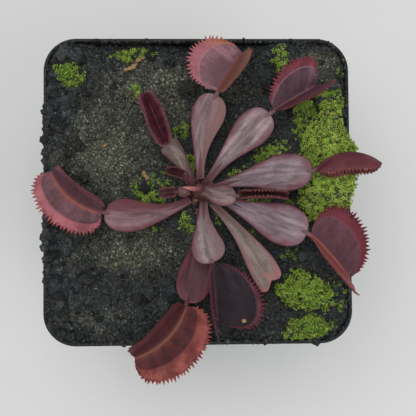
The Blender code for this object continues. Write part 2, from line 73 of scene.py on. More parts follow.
# The plant
CROWN_X = 0.5
CROWN_Y = 0.1
CROWN_RADIUS = 3.2
CROWN_TOP = 68.4
OLD_BASES = 11
BUD_LENGTH = 5.2
NECK_HALF = 0.65
BLADE_EDGE = 0.34
BLADE_MIDDLE = 0.55
PETIOLE_ROWS = 84
PETIOLE_COLUMNS = 37
TRAP_ROWS = 96
TRAP_COLUMNS = 49
SMALL_TRAP = 8.0
FIRST_BETA = 20.0
END_BETA = 7.0
TEETH = 16
TOOTH_LENGTH = 1.3
TOOTH_REACH = 1.2
TOOTH_PITCH = 0.9
TOOTH_INCURVE = 14.0
TOOTH_SIDES = 6
HAIRS = ((0.36, 0.40), (0.50, 0.52), (0.64, 0.40))

# How finely the pot and the soil are made, and how much lies on the soil
POT_CORNER_STEPS = 20
POT_SIDE_STEPS = 6
SOIL_RINGS = 110
SOIL_SPOKES = 260
FIBRES = 260
RIM_CRUMBS = 3400
CUSHION_SHOOTS = 2.5
SHOOT_KINDS = 6
SHOOT_LEAVES = 9

# Ground that is olive-grey: x, y, both half widths, and how much
OLIVE_ZONES = (
    (-23.0, 10.5, 10.5, 12.0, 1.1),
    (-17.0, -15.5, 13.0, 6.0, 1.0),
    (32.5, 33.6, 6.0, 5.0, 0.7),
    (-25.0, -33.0, 10.0, 4.5, 0.45),
    (-20.0, 29.0, 9.0, 5.0, 0.45),
    (-9.0, 29.0, 9.0, 5.6, 0.6),
    (-5.0, 22.0, 6.0, 8.0, 0.5),
    (10.0, 27.0, 5.0, 6.0, 0.4),
)
# Thin moss: x, y, both half widths, turn, shoots on a square millimetre, and how lively their green is
MOSS_PATCHES = (
    (18.6, 9.0, 6.6, 2.9, 34, 3.0, 1.1),
    (10.6, 4.4, 2.6, 1.4, 20, 2.0, 0.9),
    (20.1, -2.9, 8.6, 1.6, 4, 1.7, 0.75),
    (22.1, 35.6, 2.0, 3.8, 0, 3.0, 1.05),
    (37.8, 31.5, 0.9, 2.2, 0, 1.2, 0.6),
    (37.6, 23.6, 1.6, 3.6, 0, 2.0, 0.9),
    (-16.8, 36.4, 5.8, 1.7, 4, 2.4, 0.95),
    (-16.6, 26.7, 1.8, 1.7, 0, 1.8, 0.9),
    (-4.6, 16.3, 2.3, 2.2, 30, 2.0, 0.9),
    (-2.0, 7.3, 1.4, 3.5, 8, 2.4, 1.1),
    (-12.2, 1.4, 6.0, 3.8, 10, 1.3, 0.8),
    (-11.0, -2.0, 5.2, 1.5, -6, 1.7, 0.9),
    (-11.0, -10.0, 1.6, 0.9, 10, 1.7, 0.9),
    (-2.9, -8.7, 1.9, 3.0, 8, 2.4, 1.1),
    (6.5, -7.0, 2.5, 2.0, -20, 2.0, 0.9),
    (12.8, -11.4, 2.7, 1.7, -20, 0.9, 0.6),
    (25.0, -17.0, 3.7, 1.6, 0, 0.8, 0.6),
    (33.0, -30.6, 5.6, 5.0, -10, 0.6, 0.9),
    (36.4, -26.0, 2.0, 6.0, 0, 0.4, 0.8),
    (25.6, -23.2, 3.2, 3.2, 0, 1.2, 0.9),
    (12.0, -20.0, 1.4, 3.0, 0, 0.6, 0.5),
    (29.4, 17.6, 3.6, 8.2, 10, 2.6, 1.1),
    (33.5, 25.4, 4.6, 3.4, 0, 2.4, 1.05),
    (28.2, 7.0, 2.4, 4.4, 0, 2.0, 1.0),
)
# Moss cushions: lively says how yellow-green their shoots are
CUSHIONS = (
    dict(name="moss_right", at=(34.0, 6.5), size=(7.2, 15.0), turn=-3,
         thick=3.2, bumps=1.0, lively=1.6),
    dict(name="moss_front_right", at=(28.0, -26.6), size=(7.0, 4.4), turn=-12,
         thick=1.8, bumps=0.8, lively=0.85),
    dict(name="moss_front_corner", at=(28.0, -35.7), size=(6.2, 2.8), turn=6,
         thick=1.6, bumps=0.7, lively=0.6),
    dict(name="moss_back_left", at=(-33.0, 30.2), size=(3.8, 2.8), turn=-20,
         thick=1.4, bumps=0.6, lively=0.6),
)
# Dry curls: x, y, heading, length, width, bend
CURLS = (
    (-19.6, 32.4, 22, 4.4, 1.1, 0.9),
    (-16.4, 34.2, 30, 3.2, 0.9, -0.8),
    (-14.4, 5.8, -58, 3.0, 1.1, 0.9),
    (-25.2, 12.0, 20, 1.4, 0.7, 0.4),
    (30.6, -7.2, -10, 2.4, 1.6, 0.8),
)
# The seed that lies in the front trap
SEED_AT = (11.2, -33.2)

# The camera stands almost above the pot, a little to its front left
CAMERA_AT = (-5.3, -14.9, 285.0)
CAMERA_AIM = (2.6, -4.6, 72.0)
CAMERA_UP = (0.0, 1.0, 0.23)
CAMERA_LENS = 71.0


def lean(azimuth, pitch=0.0):
    """The unit vectors that point along azimuths, raised by pitches, in degrees."""
    a = np.radians(azimuth)
    p = np.radians(pitch)
    return columns(np.cos(a) * np.cos(p), np.sin(a) * np.cos(p), np.sin(p))


def columns(*values):
    """Arrays or numbers as the last axis of one array."""
    return np.stack(np.broadcast_arrays(*values), axis=-1)


def unit(vectors):
    return vectors / (np.linalg.norm(vectors, axis=-1, keepdims=True) + 1e-12)


def smooth(x):
    """The smooth step from 0 to 1."""
    x = np.clip(x, 0.0, 1.0)
    return x * x * (3.0 - 2.0 * x)


def noise_at(points, size, seed=0.0):
    """Smooth noise, about -0.7 to 0.7, at each point, with lumps of a size."""
    spots = np.asarray(points, dtype=float).reshape(-1, 3) / size + seed
    values = [noise.noise(Vector(p)) for p in spots.tolist()]
    return np.array(values).reshape(np.shape(points)[:-1])


def noise_on(x, y, size, seed=0.0, level=0.0):
    """The same noise over the ground, at a level of its own."""
    return noise_at(columns(x, y, level * size), size, seed)


def paint(r, g, b):
    """A colour given as it looks on a screen, 0 to 255, in the linear form that shaders take."""
    return tuple((c / 255.0 / 12.92) if c <= 10 else ((c / 255.0 + 0.055) / 1.055) ** 2.4 for c in (r, g, b))


def tint(color, share):
    """A lighter or darker version of a linear colour."""
    return tuple(min(c * share, 1.0) for c in color)


CHARCOAL = paint(86, 91, 94)
PEAT = paint(80, 79, 66)
OLIVE = paint(162, 164, 140)
UMBER = paint(128, 116, 98)
TAN = paint(196, 158, 110)
MOSS_GREEN = paint(134, 190, 56)
MOSS_YELLOW = paint(210, 244, 104)
MOSS_DEEP = paint(34, 54, 24)
MOSS_BROWN = paint(120, 110, 50)
PLASTIC = paint(15, 15, 16)
SKIN_TONE = 0.94
POT_DUST = paint(84, 82, 78)
CROWN_DARK = paint(52, 30, 32)
CROWN_RED = paint(104, 56, 56)
CROWN_PALE = paint(150, 112, 100)
BUD_FOOT = paint(112, 60, 62)
BUD_TIP = paint(190, 120, 112)
FLOOR_TONE = paint(224, 224, 222)
FLOOR_REACH = 2.0
SKY_TONE = (0.92, 0.96, 1.0)
SKY_STRENGTH = 0.56
LAMP_TONE = (1.0, 0.98, 0.95)
LAMP_AIM = Vector((0.0, 0.0, 0.06))
LAMPS = (
    ("key", (-0.10, 0.10, 0.72), 0.50, 2.0),
    ("fill", (0.48, -0.34, 0.55), 0.70, 1.25),
)


# ---------------------------------------------------------------- materials

class Graph:
    """A material and short calls that add nodes to it."""

    def __init__(self, name):
        self.material = bpy.data.materials.new(name)
        self.material.use_nodes = True
        self.tree = self.material.node_tree
        self.shader = self.tree.nodes["Principled BSDF"]
        self.place = self.add("TexCoord").outputs["Object"]

    def add(self, kind):
        return self.tree.nodes.new("ShaderNode" + kind)

    def join(self, value, socket):
        if isinstance(value, bpy.types.NodeSocket):
            self.tree.links.new(value, socket)
        elif isinstance(value, tuple) and len(value) == 3 and socket.type == "RGBA":
            socket.default_value = (*value, 1.0)
        else:
            socket.default_value = value

    def feed(self, node, *values):
        """Joins values to a node's first inputs, and gives its first output."""
        for value, socket in zip(values, node.inputs):
            self.join(value, socket)
        return node.outputs[0]

    def set(self, node, **values):
        """Joins values to the inputs of a node that have their names."""
        for label, value in values.items():
            self.join(value, node.inputs[label.replace("_", " ")])

    def math(self, operation, a, b=0.0):
        node = self.add("Math")
        node.operation = operation
        return self.feed(node, a, b)

    def shifted(self, value, by, reach):
        """A value pushed up and down by noise."""
        return self.math("ADD", value, self.math("MULTIPLY", self.math("SUBTRACT", by, 0.5), reach))

    def stretched(self, vector, scale):
        node = self.add("Mapping")
        self.set(node, Vector=vector, Scale=scale)
        return node.outputs[0]

    def noise(self, size, detail=3.0, roughness=0.55, vector=None):
        """Noise with lumps of a size in millimetres."""
        node = self.add("TexNoise")
        self.set(node, Vector=vector or self.place, Scale=1.0 / (size * MM), Detail=detail,
                 Roughness=roughness)
        return node.outputs["Fac"]

    def cells(self, size):
        """The distance to the middles of scattered cells of a size in millimetres."""
        node = self.add("TexVoronoi")
        self.set(node, Vector=self.place, Scale=1.0 / (size * MM))
        return node.outputs["Distance"]

    def range(self, value, low, high, to_low=0.0, to_high=1.0):
        node = self.add("MapRange")
        node.interpolation_type = "SMOOTHSTEP"
        return self.feed(node, value, low, high, to_low, to_high)

    def mix(self, share, a, b, blend="MIX"):
        node = self.add("Mix")
        node.data_type = "RGBA"
        node.blend_type = blend
        self.join(share, node.inputs[0])
        self.join(a, node.inputs[6])
        self.join(b, node.inputs[7])
        return node.outputs[2]

    def layers(self, color, *rows):
        """Colours over a colour; each shows more as its value goes from low to high, up to a share."""
        for value, low, high, share, top in rows:
            color = self.mix(self.range(value, low, high, 0.0, share), color, top)
        return color

    def attribute(self, name):
        node = self.add("Attribute")
        node.attribute_name = name
        return node.outputs

    def channels(self, name):
        """The three channels of a vertex colour."""
        node = self.add("SeparateColor")
        self.feed(node, self.attribute(name)["Color"])
        return tuple(node.outputs)

    def bump(self, height, distance, strength=1.0, normal=None):
        node = self.add("Bump")
        self.set(node, Height=height, Distance=distance * MM, Strength=strength)
        if normal:
            self.set(node, Normal=normal)
        return node.outputs[0]

    def glow(self, weight, radius, reach):
        """Light that passes a little way through."""
        self.set(self.shader, Subsurface_Weight=weight, Subsurface_Radius=radius, Subsurface_Scale=reach * MM)

    def finish(self, color, roughness, normal, specular):
        self.set(self.shader, Base_Color=color, Roughness=roughness, Specular_IOR_Level=specular,
                 Normal=normal)
        return self.material


# ---------------------------------------------------------------- meshes

def make_piece(name, points, faces, material, replaces=None, tones=None, flat=False):
    """A mesh piece from points in millimetres; tones are named vertex colours, three numbers a point."""
    mesh = bpy.data.meshes.new(name)
    points = np.asarray(points, dtype=float) * MM
    mesh.from_pydata(points.tolist(), [], faces.tolist() if hasattr(faces, "tolist") else faces)
    for label, values in (tones or {}).items():
        layer = mesh.attributes.new(label, "FLOAT_COLOR", "POINT")
        rgba = np.ones((len(points), 4), dtype=np.float32)
        rgba[:, :3] = values
        layer.data.foreach_set("color", rgba.ravel())
    if not flat:
        mesh.shade_smooth()
    mesh.materials.append(material)
    obj = add_object(name, mesh)
    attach(obj, "root")
    if replaces:
        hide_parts(replaces)
    return obj


def add_object(name, data):
    obj = bpy.data.objects.new(name, data)
    bpy.context.scene.collection.objects.link(obj)
    return obj


class Pile:
    """Meshes gathered into one piece, with named vertex colours."""

    def __init__(self, *labels):
        self.points = []
        self.faces = []
        self.tones = {label: [] for label in labels}
        self.count = 0

    def add(self, points, faces, **tones):
        """Each tone has one row for all the points, or a row for each."""
        points = np.asarray(points, dtype=float).reshape(-1, 3)
        faces = faces.tolist() if hasattr(faces, "tolist") else faces
        self.points.append(points)
        self.faces += [[v + self.count for v in face] for face in faces]
        for label, rows in self.tones.items():
            rows.append(np.broadcast_to(tones[label], (len(points), 3)))
        self.count += len(points)

    def build(self, name, material, slot, replaces=None):
        tones = {label: np.concatenate(rows) for label, rows in self.tones.items()}
        return make_piece(name, np.concatenate(self.points), self.faces, material, replaces, tones)


def grid_quads(rows, across):
    i, j = np.meshgrid(np.arange(rows - 1), np.arange(across - 1), indexing="ij")
    a = (i * across + j).ravel()
    return np.stack((a, a + across, a + across + 1, a + 1), axis=1)


def grid_normals(grid):
    """The normals at the points of a grid, from the diagonals of the quads round them."""
    quads = np.cross(grid[1:, 1:] - grid[:-1, :-1], grid[:-1, 1:] - grid[1:, :-1])
    normals = np.zeros_like(grid)
    for di in (0, 1):
        for dj in (0, 1):
            normals[di:di + quads.shape[0], dj:dj + quads.shape[1]] += quads
    return unit(normals)


def ring_faces(rings, sides):
    """The faces of a closed skin: bands between rings of points, and a cap on each end."""
    i, k = np.meshgrid(np.arange(rings - 1), np.arange(sides), indexing="ij")
    a = (i * sides + k).ravel()
    b = (i * sides + (k + 1) % sides).ravel()
    bands = np.stack((a, b, b + sides, a + sides), axis=1).tolist()
    return bands + [list(range(sides))[::-1], list(range((rings - 1) * sides, rings * sides))]


def shell(grid, thickness, relief=0.0, **tones):
    """A closed blade round a grid, with relief on its upper face; each tone is three values over the grid."""
    rows, across = grid.shape[:2]
    normals = grid_normals(grid)
    half = np.broadcast_to(thickness, (rows, across))[..., None] / 2
    upper = grid + normals * (half + np.broadcast_to(relief, (rows, across))[..., None])
    lower = grid - normals * half
    quads = grid_quads(rows, across)
    below = rows * across
    i = np.arange(rows)
    j = np.arange(across)
    loop = np.concatenate((i * across, (rows - 1) * across + j[1:], (i[::-1] * across + across - 1)[1:],
                           j[::-1][1:-1]))
    after = np.roll(loop, -1)
    wall = np.stack((after, loop, loop + below, after + below), axis=1)
    both = {}
    for label, values in tones.items():
        shared = columns(*(np.broadcast_to(value, (rows, across)) for value in values)).reshape(-1, 3)
        both[label] = np.concatenate((shared, shared))
    if "skin" in both:
        both["skin"][below:, 1] = 0.0
    return np.concatenate((upper.reshape(-1, 3), lower.reshape(-1, 3))), \
        np.concatenate((quads, quads[:, ::-1] + below, wall)), both, normals


def tube(path, radii, sides, up=UP):
    """A closed tube along a path."""
    path = np.asarray(path, dtype=float)
    along = unit(np.gradient(path, axis=0))
    side = unit(np.cross(up, along))[:, None]
    over = np.cross(along, side[:, 0])[:, None]
    a = (np.arange(sides) * 2 * math.pi / sides)[:, None]
    radii = np.asarray(radii, dtype=float)[:, None, None]
    rings = path[:, None] + radii * (side * np.cos(a) + over * np.sin(a))
    return rings.reshape(-1, 3), ring_faces(len(path), sides)


# ---------------------------------------------------------------- leaves

# Each leaf has a petiole and, unless it has lost it, a trap. Two numbers in brackets are for the foot or the
# left lobe, then for the broadest part or the right lobe. A base is a radius and a height, a neck an azimuth,
# a radius and a height.
PETIOLE_KEYS = ("azimuth", "base", "neck", "bow", "arch", "width", "widest", "vee")
TRAP_KEYS = ("heading", "pitch", "turn", "lift", "length", "depth", "gap", "open", "curl", "shift")
LEAF_ROWS = {
    "leaf_back": (
        (84, (3.2, 69.2), (80, 24.6, 75.5), 1.5, 1.0, (2.0, 8.6), 0.76, 0.16),
        (56, 10, 0, 14, 11.0, (11.0, 10.0), 1.4, (6, 72), (10, 4), (-0.6, 2.6)),),
    "leaf_back_right": (
        (49, (3.2, 67.7), (47, 26.3, 76.0), 0.8, 1.2, (2.0, 9.2), 0.76, 0.18),
        (29, 10, 0, 10, 12.0, (9.2, 8.5), 1.4, (26, 68), (14, 10), (4.6, 7.0)),),
    "leaf_right": (
        (12, (4.2, 67.9), (8.5, 28.9, 77.3), 1.0, 0.6, (2.0, 9.8), 0.72, 0.16),
        (5, 2, -86, 4, 17.8, (5.2, 5.4), 1.6, (118, -20), (70, 44), (0.0, 0.0)),),
    "leaf_front_right": (
        (-20, (4.6, 69.8), (-23, 29.3, 77.5), -0.4, 1.2, (2.2, 10.6), 0.74, 0.12),
        (-50, 2, -6, 6, 14.2, (11.0, 9.5), 1.4, (6, 73), (12, 8), (-3.2, 5.6)),),
    "leaf_front_bare": (
        (-44, (4.6, 67.7), (-53, 29.8, 74.0), 1.0, 0.6, (2.0, 7.4), 0.88, 0.2),),
    "leaf_front": (
        (-72, (3.4, 69.8), (-81.5, 18.9, 78.4), -0.8, 1.6, (2.2, 8.4), 0.78, 0.14),
        (-86, -4, 8, 0, 14.0, (11.8, 8.5), 0.2, (12, 80), (8, 6), (4.6, 4.4)),),
    "leaf_front_left": (
        (-90, (4.6, 67.7), (-97, 29.0, 75.0), 1.6, 0.0, (2.0, 9.2), 0.74, 0.16),
        (-135.5, 2, -52, 6, 18.2, (9.4, 9.0), 1.4, (14, 46), (6, 32), (0.0, 0.8)),),
    "leaf_left": (
        (222, (3.4, 67.7), (193.6, 25.0, 75.0), 2.2, 0.8, (2.2, 8.6), 0.76, 0.2),
        (140, 4, -54, 6, 16.2, (7.4, 8.0), 1.4, (10, 46), (8, 30), (-0.3, 0.1)),),
    "leaf_back_left": (
        (134, (3.2, 68.2), (125, 15.0, 72.5), -0.6, 0.6, (2.6, 5.4), 0.88, 0.3),
        (113, 8, 0, 4, 13.4, (6.2, 6.0), 0.2, (56, 60), (16, 16), (0.0, 0.0)),),
    "leaf_young_right": (
        (-6, (1.2, 71.4), (-12, 9.2, 76.8), -0.6, 1.0, (3.0, 5.4), 0.6, 0.34),
        (-2, 6, -6, -6, 11.5, (4.6, 4.6), 1.4, (50, 58), (56, 52), (0.0, 0.0)),
        {"tooth": 0.9},),
    "leaf_young_dark": (
        (140, (2.6, 71.4), (138, 4.8, 73.0), 0, 0, (1.8, 2.2), 0.5, 0.2),
        (168, 18, 20, 0, 4.2, (3.0, 3.0), 1.4, (38, 44), (52, 50), (0, 0)),
        {"teeth": 9, "tooth": 0.7},),
    "leaf_young_striped": (
        (186, (2.6, 70.6), (184, 5.6, 71.6), 0, 0, (1.8, 3.0), 0.5, 0.3),
        (186, 8, 0, 0, 3.6, (2.8, 2.8), 1.3, (34, 40), (50, 50), (0, 0)),
        {"teeth": 9, "tooth": 0.6},),
}


def read_leaf(name, petiole, trap=None, more=()):
    leaf = dict(zip(PETIOLE_KEYS, petiole), name=name, trap=None)
    if trap:
        leaf["trap"] = {"teeth": TEETH, "tooth": TOOTH_LENGTH, **dict(zip(TRAP_KEYS, trap)), **dict(more)}
    return leaf


LEAVES = [read_leaf(name, *row) for name, row in LEAF_ROWS.items()]


def petiole_half_width(leaf, u):
    """Half the petiole's width, from its foot at u = 0 to the neck at u = 1."""
    foot, broad = (0.5 * w for w in leaf["width"])
    widest = leaf["widest"]
    x = np.clip(u / widest, 0.0, 1.0)
    growing = foot + (broad - foot) * x ** 1.9 * (1.0 - 0.24 * x ** 6) / 0.76
    x = np.clip((u - widest) / (1.0 - widest), 0.0, 1.0)
    end = NECK_HALF if leaf["trap"] else 0.8 * broad
    ending = end + (broad - end) * np.sqrt(1.0 - x ** 2.4)
    return np.where(u <= widest, growing, ending)


def petiole_path(leaf, u):
    """The midrib's points and directions at u."""
    u = np.asarray(u, dtype=float)[..., None]
    radius, z = leaf["base"]
    foot = np.array((CROWN_X, CROWN_Y, z)) + lean(leaf["azimuth"]) * radius
    azimuth, reach, neck_z = leaf["neck"]
    neck = np.array((CROWN_X, CROWN_Y, neck_z)) + lean(azimuth) * reach
    run = neck - foot
    side = unit(np.cross(UP, run))
    bend = 4 * u * (1 - u)
    slope = 4 - 8 * u
    path = foot + run * u + side * leaf["bow"] * bend + UP * leaf["arch"] * bend
    return path, unit(run + side * leaf["bow"] * slope + UP * leaf["arch"] * slope)


def petiole_grid(leaf, us, vs):
    """The petiole's middle surface; v is -1 at its right margin and 1 at its left one."""
    path, along = petiole_path(leaf, us)
    side = unit(np.cross(UP, along))
    normal = np.cross(along, side)
    half = petiole_half_width(leaf, us)[:, None]
    u, v = us[:, None], vs[None, :]
    rise = leaf["vee"] * half * (1.15 * abs(v) ** 1.4 - 0.35 * v ** 4)
    wave = 0.05 * half * v * abs(v) * np.sin(9.0 * u + leaf["azimuth"])
    grid = path[:, None] + side[:, None] * (half * v)[..., None] + normal[:, None] * (rise + wave)[..., None]
    if not leaf["trap"]:
        torn = smooth((u - 0.8) / 0.2) * (2.4 * np.minimum(abs(v - 0.1), 0.7) - 0.9 * v * v - 0.9 * v)
        grid = grid + along[:, None] * torn[..., None]
    return grid


def hinge_path(leaf, p):
    """The hinge's points, directions and left sides at p, measured from its middle."""
    trap = leaf["trap"]
    heading, pitch, turn, lift, length = (trap[key] for key in TRAP_KEYS[:5])
    neck, along = petiole_path(leaf, 1.0)
    start = neck + unit(along + lean(heading - turn / 2, pitch - lift / 2)) * trap["gap"]
    steps = 24
    middles = (np.arange(steps) + 0.5) / steps - 0.5
    moves = lean(heading + turn * middles, pitch + lift * middles)
    line = start + np.concatenate((np.zeros((1, 3)), np.cumsum(moves, axis=0))) * length / steps
    inside = np.clip(p, -length / 2, length / 2)
    share = inside / length
    at = (share + 0.5) * steps
    point = columns(*(np.interp(at, np.arange(steps + 1), values) for values in line.T))
    direction = lean(heading + turn * share, pitch + lift * share)
    return point + direction * (p - inside)[..., None], direction, unit(np.cross(UP, direction))


def lobe_points(leaf, p, q, index):
    """Points q away from the hinge on one lobe: 0 is the left one."""
    trap = leaf["trap"]
    point, along, side = hinge_path(leaf, p)
    up = np.cross(along, side)
    start = math.radians(trap["open"][index])
    rate = math.radians(trap["curl"][index]) / trap["depth"][index]
    out = (np.sin(start + rate * q) - math.sin(start)) / rate
    rise = (math.cos(start) - np.cos(start + rate * q)) / rate
    return point + side * (out * (1 - 2 * index))[..., None] + up * rise[..., None]


def trap_grid(leaf, shares, vs):
    """The trap's middle surface; its lines fan out from the hinge, and vs run from margin to margin."""
    trap = leaf["trap"]
    grid = np.zeros((len(shares), len(vs), 3))
    turns = END_BETA + (180.0 - 2.0 * END_BETA) * shares[:, None]
    betas = np.radians(turns)
    inner = (turns - FIRST_BETA) / (180.0 - 2.0 * FIRST_BETA)
    inner = np.clip(inner, 0.0, 1.0) + 0.15 * np.minimum(inner, 0.0) + 0.15 * np.maximum(inner - 1.0, 0.0)
    at_hinge = trap["length"] * (inner - 0.5)
    reach = np.sin(betas) ** 0.62
    bulge = 1.0 - 0.3 * smooth((abs(np.cos(betas)) - 0.6) / 0.35)
    for index, chosen in enumerate((vs >= 0, vs < 0)):
        v = abs(vs[chosen])[None, :]
        depth = trap["depth"][index]
        at_margin = -(trap["length"] / 2 + 0.1 * depth) * np.cos(betas) + trap["shift"][index] * reach
        p = at_hinge + (at_margin - at_hinge) * v ** bulge
        grid[:, chosen] = lobe_points(leaf, p, depth * reach * v, index)
    fold = smooth(1.0 - abs(vs) / 0.13)[None, :, None]
    for _ in range(6):
        even = grid.copy()
        even[:, 1:-1] = (grid[:, :-2] + grid[:, 2:]) / 2
        grid = grid + (even - grid) * 0.7 * fold
    return grid


def add_petiole(mesh, leaf):
    us = np.linspace(0.0, 1.0, PETIOLE_ROWS)
    vs = np.linspace(-1.0, 1.0, PETIOLE_COLUMNS)
    grid = petiole_grid(leaf, us, vs)
    u, v = us[:, None], vs[None, :]
    length = np.linalg.norm(grid[-1, PETIOLE_COLUMNS // 2] - grid[0, PETIOLE_COLUMNS // 2])
    seed = leaf["azimuth"] * 1.7
    path = columns(u * length, v * 5.0, seed)
    ripple = 0.16 * noise_at(path, 2.6) * smooth((u - 0.05) / 0.3)
    margin = smooth((abs(v) - 0.7) / 0.3)
    crinkle = 0.22 * margin * noise_at(path * (1.0, 0.2, 1.0), 1.7, 4.0) * smooth((u - 0.3) / 0.3)
    grid = grid + grid_normals(grid) * (ripple + crinkle)[..., None]
    thickness = BLADE_EDGE * (1.0 - 0.45 * smooth((abs(v) - 0.8) / 0.2)) \
        + (BLADE_MIDDLE - BLADE_EDGE) * smooth(1.0 - abs(v) * 1.6)
    half = petiole_half_width(leaf, us)[:, None]
    veins = 0.035 * np.cos(v * half * 5.2 + 0.4 * np.sin(u * 9.0)) * smooth((0.92 - abs(v)) / 0.2)
    groove = 0.1 * np.exp(-(v * half / 0.35) ** 2)
    points, faces, tones, _ = shell(
        grid, thickness, veins - groove, where=(u, abs(v), 0.0), skin=(0.0, 1.0, 0.5 + 0.5 * v),
        flat=(u * length * MM, v * half * MM, seed * 10 * MM))
    mesh.add(points, faces, **tones)


def add_midrib(mesh, leaf):
    """The midrib: under the petiole, across the neck and on below the trap's hinge."""
    sides = 9
    us = np.linspace(0.02, 1.0, 36)
    path, along = petiole_path(leaf, us)
    over = np.cross(along, unit(np.cross(UP, along)))
    radii = 0.75 - 0.35 * smooth(us / 0.5) + 0.22 * smooth((us - 0.85) / 0.15)
    path = path - over * (0.28 * smooth((1.0 - us) / 0.06))[:, None]
    if leaf["trap"]:
        share = np.linspace(0.02, 0.97, 24)
        hinge, along, side = hinge_path(leaf, (share - 0.5) * leaf["trap"]["length"])
        path = np.concatenate((path, hinge - np.cross(along, side) * 0.16))
        radii = np.concatenate((radii, 0.16 + 0.42 * (1.0 - share) ** 0.8))
    else:
        radii = radii * (1.0 - 0.8 * smooth((us - 0.6) / 0.4))
    points, faces = tube(path, radii, sides)
    share = np.repeat(np.linspace(0.0, 1.0, len(path)), sides)
    kind = np.repeat((np.arange(len(path)) >= len(us)) * 1.0, sides)
    mesh.add(points, faces, where=columns(np.where(kind > 0, 0.5, share), 0.0, kind), skin=(0.0, 0.0, 0.5),
             flat=columns(share * 30 * MM, 0.0, 33 * MM))


def add_trap(mesh, leaf, look, rng):
    trap = leaf["trap"]
    length = trap["length"]
    shares = np.linspace(0.0, 1.0, TRAP_ROWS // 2 if length < SMALL_TRAP else TRAP_ROWS)
    vs = np.linspace(-1.0, 1.0, TRAP_COLUMNS)
    grid = trap_grid(leaf, shares, vs)
    s, v = shares[:, None], vs[None, :]
    across = abs(v)
    path = columns(s * length, v * trap["depth"][0], leaf["azimuth"] * 2.3)
    size = min(length / 13.0, 1.0)
    wave = 0.45 * size * noise_at(path, 4.2) * smooth((across - 0.1) / 0.5)
    grid = grid + grid_normals(grid) * wave[..., None]
    flute = np.cos(s * trap["teeth"] * 2.0 * math.pi) * smooth((across - 0.84) / 0.14)
    line_at = look["rim_at"]
    line = np.exp(-((across - line_at) / 0.028) ** 2) * np.sin(np.clip(s, 0.02, 0.98) * math.pi) ** 0.3
    ribs = look["ribs"] * noise_at(path * (1.0, 0.12, 1.0), 0.55, 2.0)
    ribs = ribs * smooth((across - 0.06) / 0.2) * smooth((line_at - 0.02 - across) / 0.1)
    thickness = BLADE_EDGE * (1.0 - 0.3 * smooth((across - 0.9) / 0.1)) + 0.12 * smooth(1.0 - across * 4.0)
    points, faces, tones, normals = shell(
        grid, thickness, size * (0.14 * line + 0.07 * flute + 0.09 * ribs),
        where=(s, across, 1.0), skin=(0.0, 1.0, 0.5 + 0.5 * np.sign(v)),
        flat=(s * length * MM, v * trap["depth"][0] * MM, leaf["azimuth"] * 10 * MM))
    mesh.add(points, faces, **tones)
    for lobe, column, inner in ((0.0, 0, 3), (1.0, -1, -4)):
        add_teeth(mesh, trap, look["teeth"], grid[:, column], grid[:, inner], normals[:, column], shares,
                  lobe, rng)
    add_hairs(mesh, grid, normals, size)


def add_teeth(mesh, trap, share_of_length, margin, inner, normals, shares, lobe, rng):
    """The spines along one margin, broad at their roots and curved inward."""
    pitch = TOOTH_PITCH * (0.5 + 0.5 * min(trap["length"] / 12.0, 1.0))
    run = np.concatenate(((0.0,), np.cumsum(np.linalg.norm(np.diff(margin, axis=0), axis=1))))
    count = int(run[-1] / pitch)
    stages = np.array((-0.30, 0.05, 0.38, 0.7, 1.0))
    widths = (np.array((1.3, 1.0, 0.66, 0.36, 0.05)) * pitch * 0.46)[:, None, None]
    depths = (np.array((0.42, 0.36, 0.28, 0.18, 0.04)) * 0.5)[:, None, None]
    a = (np.arange(TOOTH_SIDES) * 2 * math.pi / TOOTH_SIDES)[:, None]
    faces = ring_faces(len(stages), TOOTH_SIDES)
    t = np.repeat(np.clip(stages, 0.0, 1.0), TOOTH_SIDES)

    def along(values, at):
        return np.array([np.interp(at, run, column) for column in values.T])

    for k in range(count):
        at = (k + 0.5 + rng.uniform(-0.16, 0.16)) * run[-1] / count
        share = np.interp(at, run, shares)
        point = along(margin, at)
        normal = unit(along(normals, at))
        edge = unit(along(margin, at + 0.3) - along(margin, at - 0.3))
        out = point - along(inner, at)
        out = unit(out - edge * (out @ edge) + edge * rng.uniform(-0.16, 0.16))
        turn = math.radians(TOOTH_INCURVE + rng.uniform(-9.0, 9.0))
        out = out * math.cos(turn) + normal * math.sin(turn)
        over = unit(np.cross(edge, out))
        over = over if over @ normal > 0 else -over
        ends = min(math.sin(math.pi * min(max(share, 0.03), 0.97)) ** 0.35, 1.0)
        reach = trap["tooth"] * TOOTH_REACH * share_of_length * ends * rng.uniform(0.72, 1.16)
        centre = point + out * (stages * reach)[:, None] + over * (0.16 * reach * stages ** 2)[:, None]
        rings = centre[:, None] + edge * widths * np.cos(a) + over * depths * np.sin(a)
        mesh.add(rings, faces, where=(share, 1.0, 1.0), skin=columns(t, 1.0, lobe),
                 flat=columns(share * 30, t * 2, k * 10) * MM)


def add_hairs(mesh, grid, normals, size):
    """Three trigger hairs on each lobe."""
    rows, across = grid.shape[:2]
    stages = np.linspace(0.0, 1.0, 4)[:, None]
    for sign in (-1, 1):
        for share, out in HAIRS:
            i = int(share * (rows - 1))
            j = int((0.5 + 0.5 * sign * out) * (across - 1))
            path = grid[i, j] + normals[i, j] * (stages * 1.3 * size + 0.1)
            points, faces = tube(path, (0.09, 0.07, 0.045, 0.012), 5, up=np.array((0.83, 0.41, 0.37)))
            mesh.add(points, faces, where=(share, 0.4, 1.0), skin=(0.3, 1.0, 0.5),
                     flat=(share * 10 * MM, out * 10 * MM, 0.0))


